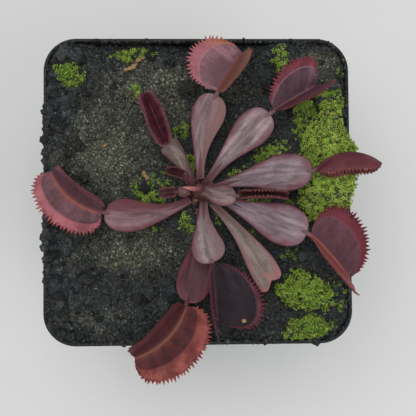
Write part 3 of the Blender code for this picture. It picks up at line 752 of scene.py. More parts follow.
# How each leaf is coloured. On the petiole: body, warm blotches, foot, edge, tip and where the tip begins,
# and half, one side in another colour. On the trap, from the hinge out: hinge, deep, inside, the line
# inside the rim, rim with its far blotches and its tip, tooth, and the outside; lobe lays a colour over one
# lobe, and flush over what lies near a place. The numbers say how far hinge and deep reach, where the rim
# begins and how softly, how much of the line, the rays and the ribs shows, and how long the teeth are.
PLAIN_LOOK = dict(
    body=(154, 136, 142), warm=(140, 114, 116), foot=(112, 84, 86), edge=(112, 62, 74), tip=(140, 106, 114),
    deep=(84, 48, 62), inside=(112, 76, 92), line=(158, 108, 120), rim=(150, 66, 80), tooth=(168, 74, 84),
    hinge=(150, 92, 88), outside=(120, 66, 72), tip_from=0.82, deep_to=0.72, hinge_to=0.085, rim_at=0.76,
    rim_soft=0.03, line_share=0.7, rays=0.6, ribs=1.0, teeth=1.0)
LOOKS = {
    "leaf_back": dict(
        body=(146, 122, 126), half=(-1, (130, 96, 92)), inside=(150, 108, 118), deep=(104, 66, 78),
        rim=(174, 108, 116), rim_far=(152, 86, 94), rim_tip=(180, 112, 68), tooth=(176, 92, 100),
        line=(172, 124, 134), hinge=(132, 60, 62), outside=(112, 70, 54), lobe=(-1, (118, 74, 50), 0.75),
        flush=((14.6, 37.6, 82.0, 3.4), (150, 134, 54))),
    "leaf_back_right": dict(
        body=(166, 146, 150), inside=(112, 82, 92), deep=(88, 58, 68), rim=(132, 64, 76),
        rim_far=(116, 54, 64), line=(158, 124, 134), tooth=(134, 66, 70), hinge=(128, 84, 88),
        lobe=(-1, (88, 44, 54), 0.6), outside=(120, 72, 78), flush=((16.4, 27.4, 80.0, 2.6), (178, 92, 70))),
    "leaf_right": dict(
        edge=(104, 54, 66), tip=(116, 76, 84), rim_at=0.66, teeth=0.5, inside=(76, 36, 46),
        deep=(70, 34, 42), rim=(106, 50, 54), outside=(104, 50, 58), line=(150, 104, 94),
        tooth=(124, 70, 66), rim_far=(150, 104, 92), hinge=(92, 46, 52)),
    "leaf_front_right": dict(
        body=(150, 132, 140), inside=(104, 62, 74), deep=(88, 50, 60), rim=(106, 36, 48),
        rim_far=(116, 48, 58), line=(130, 74, 86), line_share=0.35, tooth=(104, 32, 44),
        hinge=(150, 88, 76), outside=(150, 82, 76), lobe=(-1, (152, 82, 76), 0.7)),
    "leaf_front_bare": dict(
        body=(142, 126, 122), warm=(132, 112, 106), edge=(146, 98, 102), tip=(176, 110, 110), tip_from=0.9,
        foot=(124, 108, 98)),
    "leaf_front": dict(
        body=(150, 134, 136), warm=(132, 110, 108), half=(1, (126, 100, 102)), rim_at=0.92, rays=0.3,
        ribs=0.25, lobe=(-1, (88, 50, 62), 0.65), inside=(44, 32, 40), deep=(36, 26, 36), rim=(104, 50, 62),
        rim_far=(88, 42, 54), line=(66, 42, 54), tooth=(98, 40, 54), hinge=(64, 44, 54),
        outside=(96, 50, 62)),
    "leaf_front_left": dict(
        body=(98, 64, 72), warm=(104, 56, 66), foot=(96, 66, 74), edge=(110, 54, 66), tip=(112, 66, 76),
        rim_at=0.62, rim_soft=0.09, line_share=0.3, deep_to=0.3, hinge_to=0.14, inside=(88, 36, 40),
        deep=(108, 50, 46), rim=(152, 78, 70), rim_far=(112, 46, 48), line=(150, 86, 76),
        tooth=(162, 76, 68), hinge=(140, 84, 64), outside=(132, 64, 62), lobe=(-1, (78, 42, 48), 0.75)),
    "leaf_left": dict(
        body=(144, 114, 120), warm=(130, 94, 100), half=(-1, (98, 52, 58)), edge=(108, 56, 64),
        foot=(118, 88, 92), rim_at=0.7, rim_soft=0.07, line_share=0.4, deep_to=0.4, hinge_to=0.24,
        inside=(108, 72, 80), deep=(122, 74, 76), rim=(174, 102, 108), rim_far=(150, 80, 88),
        line=(164, 106, 114), tooth=(150, 70, 76), hinge=(144, 80, 70), outside=(130, 70, 76),
        lobe=(-1, (82, 54, 64), 0.7)),
    "leaf_back_left": dict(
        body=(136, 120, 114), warm=(112, 86, 84), edge=(88, 48, 54), foot=(108, 84, 82), tip=(124, 100, 98),
        inside=(100, 47, 61), deep=(82, 38, 50), rim=(128, 78, 88), line=(104, 54, 66),
        tooth=(136, 96, 102), hinge=(122, 84, 94), outside=(128, 92, 98)),
    "leaf_young_right": dict(
        body=(140, 118, 116), warm=(118, 90, 88), edge=(110, 66, 68), foot=(128, 104, 100),
        tip=(124, 94, 92), teeth=0.7, inside=(88, 52, 52), deep=(74, 42, 44), rim=(106, 60, 60),
        line=(122, 80, 76), tooth=(122, 72, 70), hinge=(96, 62, 62), outside=(98, 56, 58)),
    "leaf_young_dark": dict(
        body=(92, 56, 60), warm=(78, 40, 46), foot=(84, 54, 56), edge=(104, 52, 60), tip=(92, 48, 54),
        inside=(80, 42, 48), deep=(66, 32, 38), rim=(100, 56, 60), line=(112, 66, 70), tooth=(116, 70, 72),
        hinge=(86, 50, 54), outside=(88, 48, 54)),
    "leaf_young_striped": dict(
        body=(122, 92, 92), warm=(96, 62, 64), foot=(96, 66, 66), edge=(106, 62, 66), tip=(116, 84, 84),
        inside=(94, 54, 60), deep=(76, 42, 48), rim=(116, 72, 76), line=(132, 92, 94), tooth=(126, 80, 82),
        hinge=(104, 66, 70), outside=(96, 56, 62)),
}


def painted(value):
    """A look's value, with each colour in it (three whole numbers) toned down and linear."""
    if not isinstance(value, tuple):
        return value
    if len(value) == 3 and all(isinstance(c, int) for c in value):
        return tint(paint(*value), SKIN_TONE)
    return tuple(painted(part) for part in value)


def leaf_material(name, look):
    """A leaf's skin: a veined petiole with a tinted margin, and a trap with zones between hinge and teeth."""
    g = Graph(name)
    along, across, kind = g.channels("where")
    tooth, upper, lobe = g.channels("skin")
    flat = g.attribute("flat")["Vector"]
    streaked = g.stretched(flat, (0.16, 1.0, 1.0))
    streak = g.noise(2.0, 5.0, 0.5, streaked)
    mottles = g.noise(10.0 / 9.0, 4.0, 0.5, streaked)
    rays = g.noise(10.0 / 6.0, 3.0, 0.5, g.stretched(flat, (1.0, 0.14, 1.0)))
    blotch = g.noise(3.4, 4.0, 0.6)
    fine = g.noise(0.55, 4.0, 0.65)
    specks = g.noise(0.3, 3.0, 0.7)
    dots = g.cells(0.34)

    skin, warm, edge = look["body"], look["warm"], look["edge"]
    body = g.layers(
        g.mix(g.range(streak, 0.38, 0.64), tint(skin, 1.18), tint(skin, 0.54)),
        (blotch, 0.45, 0.72, 0.75, warm),
        (fine, 0.5, 0.78, 0.42, tint(skin, 1.38)),
        (mottles, 0.5, 0.66, 0.62, tint(warm, 0.45)),
        (mottles, 0.46, 0.34, 0.3, tint(skin, 1.35)),
        (specks, 0.5, 0.68, 0.55, tint(warm, 0.42)),
        (across, 0.06, 0.0, 0.5, tint(skin, 0.6)),
        (along, 0.32, 0.0, 0.85, look["foot"]),
        (g.shifted(across, blotch, 0.5), 0.45, 1.0, 0.9, edge),
        (across, 0.9, 0.965, 0.85, tint(edge, 0.62)),
        (g.shifted(along, blotch, 0.35), look["tip_from"], 1.02, 0.85, look["tip"]))
    if "half" in look:
        side, color = look["half"]
        body = g.layers(body, (lobe, 0.5 - 0.1 * side, 0.5 + 0.3 * side, 0.85, color))
    body = g.mix(g.math("MULTIPLY", g.math("SUBTRACT", 1.0, upper), 0.6), body, tint(edge, 0.8))

    rim = g.mix(g.range(blotch, 0.4, 0.7), look["rim"], look.get("rim_far", tint(look["rim"], 0.78)))
    if "rim_tip" in look:
        rim = g.layers(rim, (along, 0.55, 0.95, 0.9, look["rim_tip"]))
    rim = g.layers(
        rim,
        (specks, 0.5, 0.7, 0.55, tint(look["rim"], 0.45)),
        (rays, 0.46, 0.3, 0.6, tint(look["rim"], 1.5)),
        (rays, 0.52, 0.68, 0.65, tint(look["rim"], 0.48)))
    inside, rim_at, soft = look["inside"], look["rim_at"], look["rim_soft"]
    outward = g.shifted(across, fine, 0.06)
    from_line = g.math("ABSOLUTE", g.math("SUBTRACT", outward, rim_at - 0.005))
    zone = g.layers(
        g.mix(g.range(across, 0.04, look["deep_to"]), look["deep"], inside),
        (blotch, 0.42, 0.7, 0.6, tint(inside, 0.7)),
        (dots, 0.32, 0.06, 0.55, tint(inside, 1.55)),
        (rays, 0.5, 0.6, look["rays"], tint(inside, 0.5)),
        (rays, 0.47, 0.37, look["rays"], tint(inside, 1.45)),
        (specks, 0.48, 0.68, 0.65, tint(inside, 0.4)),
        (specks, 0.44, 0.3, 0.3, tint(inside, 1.5)),
        (outward, rim_at - soft, rim_at + soft, 1.0, rim),
        (from_line, 0.035, 0.0, look["line_share"], look["line"]),
        (across, look["hinge_to"], 0.015, 0.9, look["hinge"]))
    outside = g.layers(
        g.mix(g.range(blotch, 0.35, 0.7), look["outside"], tint(look["outside"], 0.66)),
        (dots, 0.3, 0.08, 0.4, tint(look["outside"], 1.5)),
        (across, 0.78, 1.0, 0.7, look["rim"]))
    zone = g.layers(g.mix(upper, outside, zone), (tooth, 0.1, 0.85, 1.0, look["tooth"]))
    if "lobe" in look:
        side, color, share = look["lobe"]
        zone = g.layers(zone, (lobe, 0.5 - 0.1 * side, 0.5 + 0.1 * side, share, color))
    if "flush" in look:
        (*at, reach), color = look["flush"]
        away = g.add("VectorMath")
        away.operation = "DISTANCE"
        g.feed(away, g.place, tuple(c * MM for c in at))
        near = g.shifted(away.outputs["Value"], blotch, 4 * MM)
        zone = g.layers(zone, (near, reach * MM, 0.25 * reach * MM, 0.9, color))

    veins = g.bump(g.math("ADD", g.math("MULTIPLY", streak, 0.7), g.math("MULTIPLY", fine, 0.5)), 0.16, 0.8)
    grain = g.math("MULTIPLY", g.range(dots, 0.0, 0.3), g.math("MULTIPLY", kind, 0.6))
    g.glow(0.12, (1.0, 0.35, 0.3), 0.6)
    return g.finish(g.mix(kind, body, zone), g.range(blotch, 0.3, 0.7, 0.46, 0.66),
                    g.bump(grain, 0.05, 0.8, veins), 0.22)


def make_leaf(leaf, rng):
    name = leaf["name"]
    look = {key: painted(value) for key, value in {**PLAIN_LOOK, **LOOKS[name]}.items()}
    mesh = Pile("where", "skin", "flat")
    add_petiole(mesh, leaf)
    add_midrib(mesh, leaf)
    if leaf["trap"]:
        add_trap(mesh, leaf, look, rng)
    slot = "young_leaf_tissue" if "young" in name else "leaf_tissue"
    mesh.build(name + "_fine", leaf_material(name + "_skin", look), slot, name)


# ---------------------------------------------------------------- soil

def soil_height(x, y):
    """The soil's surface in the model: lumpy, level in the middle, banked up on the left and the right."""
    edge = np.maximum(abs(x), abs(y))
    bank = SIDE_BANK * smooth((edge - 18.0) / 19.0) + LEFT_BANK * smooth((-x - 22.0) / 14.0)
    dip_back = BACK_DIP * smooth((y - 27.0) / 9.0) * smooth((24.0 - x) / 12.0) * smooth((x + 34.0) / 8.0)
    swells = 0.8 * noise_on(x, y, 9.0, level=3.7)
    clods = CLOD_HEIGHT * noise_on(x, y, CLOD_SIZE, level=6.1)
    clods = clods * (1.0 + 0.5 * smooth((-x - 20.0) / 8.0))
    crown = np.hypot(x - CROWN_X, y - CROWN_Y)
    lumps = swells * smooth((crown - 5.0) / 6.0) + clods * smooth((crown - 6.0) / 6.0)
    return SOIL_LEVEL + bank - dip_back + lumps


def rounded_reach(angle, half, corner):
    """How far a square with rounded corners reaches from its middle, along angles."""
    c = np.maximum(abs(np.cos(angle)), abs(np.sin(angle)))
    s = np.minimum(abs(np.cos(angle)), abs(np.sin(angle)))
    b = (half - corner) * (c + s)
    bend = b + np.sqrt(np.maximum(b * b - 2 * (half - corner) ** 2 + corner ** 2, 0.0))
    return np.where(half * s / c <= half - corner, half / c, bend)


def inside_half(z):
    """Half the width inside the pot at a height."""
    band = POT_HEIGHT - BAND_HEIGHT
    wall = BASE_HALF + (RIM_HALF - BAND_STEP - BASE_HALF) * min(z, band) / band
    return wall - WALL + BAND_STEP * min(max((z - band) / BAND_STEP, 0.0), 1.0)


def olive_share(x, y):
    """How much of the olive-grey grit shows at a place, from 0 to 1."""
    total = 0.0 * x
    for cx, cy, rx, ry, share in OLIVE_ZONES:
        total = total + share * np.exp(-((x - cx) / rx) ** 2 - ((y - cy) / ry) ** 2)
    ragged = 0.55 * noise_on(x, y, 4.0, 7.0)
    return smooth(total + ragged * np.minimum(total * 2.5, 1.0))


def top_of_soil(x, y):
    """The fine surface: lumps of three sizes on the soil's own height."""
    lumps = 0.5 * noise_on(x, y, 2.2, 1.0) + 0.5 * noise_on(x, y, 1.2, 2.0) + 0.3 * noise_on(x, y, 0.6, 3.0)
    return soil_height(x, y) - 0.25 + lumps * smooth((np.hypot(x - CROWN_X, y - CROWN_Y) - 3.5) / 3.0)


def make_soil():
    rings, sectors = SOIL_RINGS, SOIL_SPOKES
    angles = (np.arange(sectors) + 0.5) * 2 * math.pi / sectors
    reach = rounded_reach(angles, inside_half(POT_HEIGHT) - SOIL_GAP, RIM_CORNER - WALL)
    share = np.linspace(0.012, 1.0, rings)[:, None] ** 0.85
    x = CROWN_X * (1 - share) + share * reach * np.cos(angles)
    y = CROWN_Y * (1 - share) + share * reach * np.sin(angles)
    top = columns(x, y, top_of_soil(x, y))
    skirt = []
    for depth in (POT_HEIGHT - BAND_HEIGHT + BAND_STEP, POT_HEIGHT - BAND_HEIGHT, FLOOR + 2.0, FLOOR + 0.5):
        corner = RIM_CORNER - WALL - 3.5 * (1.0 - depth / POT_HEIGHT)
        r = rounded_reach(angles, inside_half(depth) - SOIL_GAP - (0.8 if depth < 3.0 else 0.0), corner)
        skirt.append(columns(r * np.cos(angles), r * np.sin(angles), depth))
    grid = np.concatenate((top, np.array(skirt)))
    faces = ring_faces(len(grid), sectors)
    points = grid.reshape(-1, 3)
    tones = columns(olive_share(points[:, 0], points[:, 1]), 0.5, 0.0)
    make_piece("soil_bed", points, faces, soil_material("soil_bed", 0.85), "soil",
               {"tone": tones})


def soil_material(name, brightness):
    """Charcoal peat, olive-grey where the tone says so, with paler crumbs. The tone's second channel mixes a
    shaded and a lit copy of the ground, partly each crumb's own tone and partly painted shade and painted
    light. The gaps between the crumb cells are painted shade.
    """
    g = Graph(name)
    olive, bright, kind = g.channels("tone")
    fine = g.noise(0.5, 5.0, 0.7)
    broad = g.noise(5.0, 4.0, 0.6)
    crumbs = g.cells(0.75)
    dark = g.mix(g.range(fine, 0.36, 0.68), tint(CHARCOAL, 0.36 * brightness),
                 tint(CHARCOAL, 1.6 * brightness))
    dark = g.mix(g.range(broad, 0.42, 0.66, 0.0, 0.7), dark, tint(PEAT, brightness))
    pale = g.mix(g.range(fine, 0.38, 0.66), tint(OLIVE, 0.32 * brightness), tint(OLIVE, 1.5 * brightness))
    pale = g.mix(g.range(broad, 0.44, 0.62, 0.0, 0.5), pale, tint(UMBER, brightness))
    ground = g.mix(olive, dark, pale)
    # Painted shade: darker in the gaps between the crumb cells, which the bump also sets low.
    ground = g.mix(g.range(crumbs, 0.1, 0.5, 0.0, 0.75), ground, tint(CHARCOAL, 0.22))
    # Shaded and lit copies of the ground, mixed by the tone: partly the crumbs' own tone, partly painted
    # shade and painted light.
    low = g.mix(1.0, ground, (0.32, 0.32, 0.32), "MULTIPLY")
    high = g.mix(1.0, ground, (1.9, 1.9, 1.9), "MULTIPLY")
    color = g.mix(bright, low, high)
    color = g.mix(kind, color, g.mix(fine, tint(TAN, 0.6), TAN))
    normal = g.bump(g.math("ADD", fine, g.math("MULTIPLY", crumbs, -0.8)), 0.45, 0.9)
    return g.finish(color, g.range(fine, 0.3, 0.7, 0.72, 0.98), normal, 0.2)


def ball(level):
    """An icosphere's points and faces."""
    shape = bmesh.new()
    bmesh.ops.create_icosphere(shape, subdivisions=level, radius=1.0)
    points = np.array([v.co[:] for v in shape.verts])
    faces = np.array([[v.index for v in f.verts] for f in shape.faces])
    shape.free()
    return points, faces


def scatter(points, faces, places, sizes, stretch, rng, rough=0.0):
    """Copies of a mesh, each turned at random, stretched and roughened."""
    count = len(places)
    turns = random_turns(count, rng)
    scale = rng.uniform(1.0 - stretch, 1.0 + stretch, (count, 1, 3)) * sizes[:, None, None]
    shape = points[None] * (1.0 + rng.uniform(-rough, rough, (count, len(points), 1)))
    made = np.einsum("nij,nkj->nki", turns, shape * scale) + places[:, None]
    offsets = (np.arange(count) * len(points))[:, None, None]
    return made.reshape(-1, 3), (faces[None] + offsets).reshape(-1, faces.shape[1])


def random_turns(count, rng):
    """Random rotation matrices, from random quaternions."""
    q = unit(rng.normal(size=(count, 4)))
    w, x, y, z = q.T
    return np.stack((
        np.stack((1 - 2 * (y * y + z * z), 2 * (x * y - z * w), 2 * (x * z + y * w)), axis=-1),
        np.stack((2 * (x * y + z * w), 1 - 2 * (x * x + z * z), 2 * (y * z - x * w)), axis=-1),
        np.stack((2 * (x * z - y * w), 2 * (y * z + x * w), 1 - 2 * (x * x + y * y)), axis=-1)), axis=-2)


def places_in_pot(count, rng, margin=0.0):
    """Random places over the soil, uniform in area."""
    half = inside_half(POT_HEIGHT) - SOIL_GAP - margin
    found = np.zeros((0, 2))
    while len(found) < count:
        tries = rng.uniform(-half, half, (2 * count, 2))
        angle = np.arctan2(tries[:, 1], tries[:, 0])
        inside = np.hypot(*tries.T) < rounded_reach(angle, half, RIM_CORNER - WALL - margin)
        found = np.concatenate((found, tries[inside]))
    return found[:count]


def make_grains(name, count, size, level, rng, bright, weight=None, kind=0.0, sink=0.2, rough=0.25,
                margin=0.0):
    """Crumbs of one sort over the soil; weight gives how likely a place is to keep its crumb."""
    flat = places_in_pot(count, rng, margin)
    if weight:
        flat = flat[rng.uniform(size=len(flat)) < weight(flat[:, 0], flat[:, 1])]
    flat = flat[np.hypot(flat[:, 0] - CROWN_X, flat[:, 1] - CROWN_Y) > 3.8]
    sizes = size[0] + (size[1] - size[0]) * rng.uniform(size=len(flat)) ** 2.2
    z = top_of_soil(flat[:, 0], flat[:, 1]) + sizes * (0.55 - sink * 2.0)
    places = np.concatenate((flat, z[:, None]), axis=1)
    points, faces = ball(level)
    if level > 1:
        points = points * (1.0 + 0.65 * noise_at(points, 0.8, 5.0)[:, None])
    made, all_faces = scatter(points, faces, places, sizes, 0.35, rng, rough)
    olive = np.repeat(olive_share(flat[:, 0], flat[:, 1]), len(points))
    # How far each crumb leans to the lit copy of its ground: partly its own tone, partly painted light and
    # shade.
    shade = np.repeat(np.clip(rng.normal(bright, 0.22, len(flat)), 0.02, 1.0), len(points))
    tones = {"tone": columns(olive, shade, kind)}
    make_piece(name, made, all_faces, soil_material(name, 1.0), None, tones, flat=level > 1)


def left_band(x, y):
    """Where the bigger, blue-black lumps lie: down the left and along the front and the back."""
    left = smooth((-x - 26.0) / 8.0)
    front = 0.16 * smooth((-y - 18.0) / 8.0) * smooth((14.0 - x) / 10.0)
    back = 0.2 * smooth((y - 20.0) / 8.0)
    return np.clip(0.06 + left + front + back, 0.0, 1.0) * (1.0 - 0.7 * olive_share(x, y))


def make_rim_crumbs(rng):
    """Crumbs against the rim all round, and more of them on it along the left and the front."""
    flat = columns(*(rng.uniform(-RIM_HALF, RIM_HALF, 12 * RIM_CRUMBS) for _ in range(2)))
    inward = rounded_reach(np.arctan2(flat[:, 1], flat[:, 0]), RIM_HALF, RIM_CORNER) - np.hypot(*flat.T)
    chosen = (inward > 0.25) & (inward < 2.1)
    flat, inward = flat[chosen], inward[chosen]
    x, y = flat.T
    heaped = np.clip(smooth((-x - 34.0) / 3.0) * smooth((27.0 - abs(y)) / 8.0)
                     + 0.3 * smooth((-y - 36.0) / 2.0) * smooth((26.0 - abs(x)) / 8.0), 0.0, 1.0)
    against = smooth((inward - 0.5) / 0.5)
    keep = rng.uniform(size=len(x)) < np.clip(0.02 + 0.75 * against + 0.5 * heaped, 0.0, 1.0)
    x, y, inward, heaped = (values[keep][:RIM_CRUMBS] for values in (x, y, inward, heaped))
    sizes = 0.24 + 0.4 * rng.uniform(size=len(x)) ** 1.5 + 0.8 * rng.uniform(size=len(x)) ** 3 * heaped
    top = np.where(inward < WALL + 0.2, POT_HEIGHT - 0.1, np.minimum(top_of_soil(x, y), POT_HEIGHT + 2.0))
    wedged = (inward >= WALL + 0.2) & (inward < WALL + SOIL_GAP + 0.3)
    top = np.where(wedged, np.minimum(top, POT_HEIGHT - 0.2), top)
    places = np.stack((x, y, top + sizes * 0.4), axis=1)
    points, faces = ball(1)
    made, all_faces = scatter(points, faces, places, sizes, 0.3, rng, 0.16)
    olive = np.repeat(olive_share(x, y), len(points))
    # How far each crumb leans to the lit copy of its ground: partly its own tone, partly painted light and
    # shade.
    shade = np.repeat(np.clip(rng.normal(0.36, 0.16, len(x)), 0.05, 1.0), len(points))
    make_piece("rim_crumbs", made, all_faces, soil_material("rim_crumbs", 1.0), None,
               {"tone": columns(olive, shade, 0.0)})


def make_fibres(rng):
    """Peat fibres and bits of old root on the soil."""
    pile = Pile("tone")
    for flat in places_in_pot(FIBRES, rng, 2.0):
        if math.hypot(flat[0] - CROWN_X, flat[1] - CROWN_Y) < 4.5:
            continue
        length = rng.uniform(1.2, 4.2)
        heading = rng.uniform(0, 2 * math.pi)
        bend = rng.uniform(-0.7, 0.7)
        t = np.linspace(-0.5, 0.5, 6)
        x = flat[0] + length * (t * math.cos(heading) - bend * t * t * math.sin(heading))
        y = flat[1] + length * (t * math.sin(heading) + bend * t * t * math.cos(heading))
        z = top_of_soil(x, y).max() + 0.05 + 0.3 * t * rng.uniform(-1, 1)
        radius = rng.uniform(0.04, 0.1)
        points, faces = tube(np.stack((x, y, z), axis=1), radius * np.array((0.5, 1, 1, 0.9, 0.7, 0.3)), 5)
        pile.add(points, faces, tone=(0.0, rng.uniform(0.1, 0.7), rng.uniform(0.0, 0.7) ** 2))
    pile.build("soil_fibres", soil_material("soil_fibres", 1.0), "potting_soil")


# ---------------------------------------------------------------- moss

def moss_material(name):
    """Yellow-green tips over a dark, brown-flecked depth. The depth is partly the moss's own colour and
    partly painted shade, dark patches are painted shade in the gaps between tufts, and bright yellow flecks
    are painted highlights.
    """
    g = Graph(name)
    tip, hue, shade = g.channels("tone")
    fine = g.noise(0.7)
    # Green to yellow by hue with darker patches; the patches darkened to a third of the green are painted
    # shade for the gaps between tufts.
    green = g.layers(
        g.mix(g.range(hue, 0.0, 1.0), MOSS_GREEN, MOSS_YELLOW),
        (g.noise(6.0), 0.42, 0.68, 0.4, tint(MOSS_DEEP, 1.5)),
        (g.noise(2.0, 3.0, 0.6), 0.5, 0.64, 0.72, tint(MOSS_GREEN, 0.3)))
    # Dark towards the shoots' feet and on the mound: partly the moss's own depth, partly painted shade.
    low = g.mix(fine, tint(MOSS_DEEP, 0.7), MOSS_DEEP)
    color = g.mix(g.range(tip, 0.3, 0.85), low, green)
    # Brown shoots here and there, then bright yellow flecks that are painted highlights on the shoots.
    color = g.layers(
        color,
        (shade, 0.75, 1.0, 0.8, MOSS_BROWN),
        (fine, 0.5, 0.72, 0.6, tint(MOSS_YELLOW, 1.45)))
    g.glow(0.1, (0.5, 0.9, 0.2), 0.5)
    return g.finish(color, g.range(fine, 0.3, 0.7, 0.5, 0.8), g.bump(fine, 0.12, 0.6), 0.35)


def moss_shoot(rng, tall):
    """One shoot: pointed leaflets in whorls round a short stem, its middle at the origin."""
    points, faces, tips = [], [], []
    for k in range(SHOOT_LEAVES):
        level = k / SHOOT_LEAVES
        a = k * 2.39996 + rng.uniform(-0.25, 0.25)
        pitch = 0.15 + 1.15 * level + rng.uniform(-0.15, 0.15)
        length = (1.0 - 0.45 * level) * rng.uniform(0.8, 1.15)
        root = np.array((0.0, 0.0, tall * level))
        out = np.array((math.cos(a) * math.cos(pitch), math.sin(a) * math.cos(pitch), math.sin(pitch)))
        side = unit(np.cross(UP, out)) * 0.15
        over = unit(np.cross(out, side)) * 0.05
        middle = root + out * length * 0.45 + UP * 0.06 * length
        tip = root + out * length + UP * 0.05 * length
        n = len(points)
        points += [root, middle + side, middle - side, middle + over, middle - over, tip]
        faces += [(n, n + 1, n + 3), (n, n + 3, n + 2), (n, n + 4, n + 1), (n, n + 2, n + 4),
                  (n + 5, n + 3, n + 1), (n + 5, n + 2, n + 3), (n + 5, n + 1, n + 4), (n + 5, n + 4, n + 2)]
        tips += [0.05, 0.6, 0.6, 0.7, 0.5, 1.0]
    return np.array(points), np.array(faces), np.array(tips)


class MossPile(Pile):
    """Moss shoots gathered into one piece."""

    def __init__(self, rng):
        super().__init__("tone")
        self.rng = rng
        self.shoots = [moss_shoot(rng, rng.uniform(0.5, 1.1)) for _ in range(SHOOT_KINDS)]

    def grow(self, x, y, z, normal=(0.0, 0.0, 1.0), size=1.0, lively=1.0):
        rng = self.rng
        points, faces, tips = self.shoots[rng.integers(len(self.shoots))]
        turn = rng.uniform(0, 2 * math.pi)
        size = size * rng.uniform(0.75, 1.25)
        up = unit(np.array(normal) + rng.normal(0, 0.16, 3))
        east = unit(np.cross(np.array((0.0, 1.0, 0.0)), up))
        north = np.cross(up, east)
        c, s = math.cos(turn), math.sin(turn)
        flat = np.stack((points[:, 0] * c - points[:, 1] * s,
                         points[:, 0] * s + points[:, 1] * c, points[:, 2]),
                        axis=1) * size
        made = np.array((x, y, z)) + flat[:, :1] * east + flat[:, 1:2] * north + flat[:, 2:] * up
        hue = min(max(rng.normal(0.5, 0.32) * lively ** 1.5, 0.0), 1.0)
        bright = tips * min(1.0, 0.55 + 0.45 * lively)
        self.add(made, faces, tone=columns(bright, hue, rng.uniform()))

    def build_moss(self, name, replaces=None):
        self.build(name, moss_material(name), "moss_green", replaces)


def grit_share(x, y):
    """Pale grit lies mostly on the olive ground."""
    return 0.3 + 0.7 * olive_share(x, y)


def make_debris(rng):
    """Dry curls on the soil, and the seed in the front trap."""
    pile = Pile("tone")
    for x, y, heading, length, width, curl in CURLS:
        t = np.linspace(0.0, 1.0, 14)
        width = width * (1.0 + 0.5 * np.sin(t * 17.0 + x) * np.sin(t * 7.0))
        turn = np.radians(heading) + curl * (t - 0.5)
        step = length / 13
        path_x = x + np.concatenate(((0.0,), np.cumsum(np.cos(turn[1:]) * step)))
        path_y = y + np.concatenate(((0.0,), np.cumsum(np.sin(turn[1:]) * step)))
        ground = top_of_soil(path_x, path_y).max()
        lift = ground + 0.35 + 0.5 * np.sin(t * math.pi) + 0.2 * np.sin(t * 9.0)
        v = np.linspace(-1.0, 1.0, 7)
        side = np.stack((-np.sin(turn), np.cos(turn), 0 * t), axis=1)
        middle = np.stack((path_x, path_y, lift), axis=1)
        half = width / 2 * np.sin(np.clip(t, 0.06, 0.94) * math.pi) ** 0.6
        grid = middle[:, None] + side[:, None] * (half[:, None] * v)[..., None] \
            + UP * (0.3 * (half[:, None] * v ** 2))[..., None]
        points, quads, tones, _ = shell(grid, 0.22, tone=(0.0, rng.uniform(0.45, 0.7), 0.75))
        pile.add(points, quads, **tones)
    leaf = next(leaf for leaf in LEAVES if leaf["name"] == "leaf_front")
    lobe = trap_grid(leaf, np.linspace(0.0, 1.0, 60), np.linspace(-1.0, 1.0, 61)).reshape(-1, 3)
    at = lobe[np.argmin(np.hypot(*(lobe[:, :2] - SEED_AT).T))]
    points, faces = ball(2)
    points = points * (0.62, 0.5, 0.4) * (1.0 + 0.16 * noise_at(points, 0.8)[:, None]) + at + UP * 0.5
    pile.add(points, faces, tone=(0.0, 0.9, 1.0))
    pile.build("dry_curls", soil_material("dry_curls", 1.0), "potting_soil")


def ground_height(x, y):
    """The highest that the soil, or the pot's rim near and past the edge, comes round a place."""
    x, y = np.broadcast_arrays(np.asarray(x, dtype=float), np.asarray(y, dtype=float))
    reach = 1.6
    soil = np.max([soil_height(x + dx, y + dy)
                   for dx in (-reach, 0, reach) for dy in (-reach, 0, reach)], axis=0)
    inward = rounded_reach(np.arctan2(y, x), RIM_HALF, RIM_CORNER) - np.hypot(x, y)
    return soil + np.maximum(POT_HEIGHT - soil, 0.0) * smooth((5.0 - inward) / 2.4)


def cushion_place(cushion, share, a):
    """A place in a cushion, a share of the way from its middle to its lobed outline."""
    cx, cy = cushion["at"]
    ax, ay = cushion["size"]
    turn = math.radians(cushion["turn"])
    lobed = 1.0 + 0.12 * np.sin(3 * a + cx) + 0.08 * np.sin(5 * a + cy)
    u = ax * share * lobed * np.cos(a)
    v = ay * share * lobed * np.sin(a)
    return cx + u * math.cos(turn) - v * math.sin(turn), cy + u * math.sin(turn) + v * math.cos(turn)


def cushion_top(cushion, x, y, share):
    bump = cushion["bumps"] * noise_on(x, y, 3.2, level=8.1)
    dome = (cushion["thick"] + bump) * np.sqrt(np.maximum(1.0 - share ** 2 * 0.98, 0.0))
    return ground_height(x, y) + 0.6 + dome


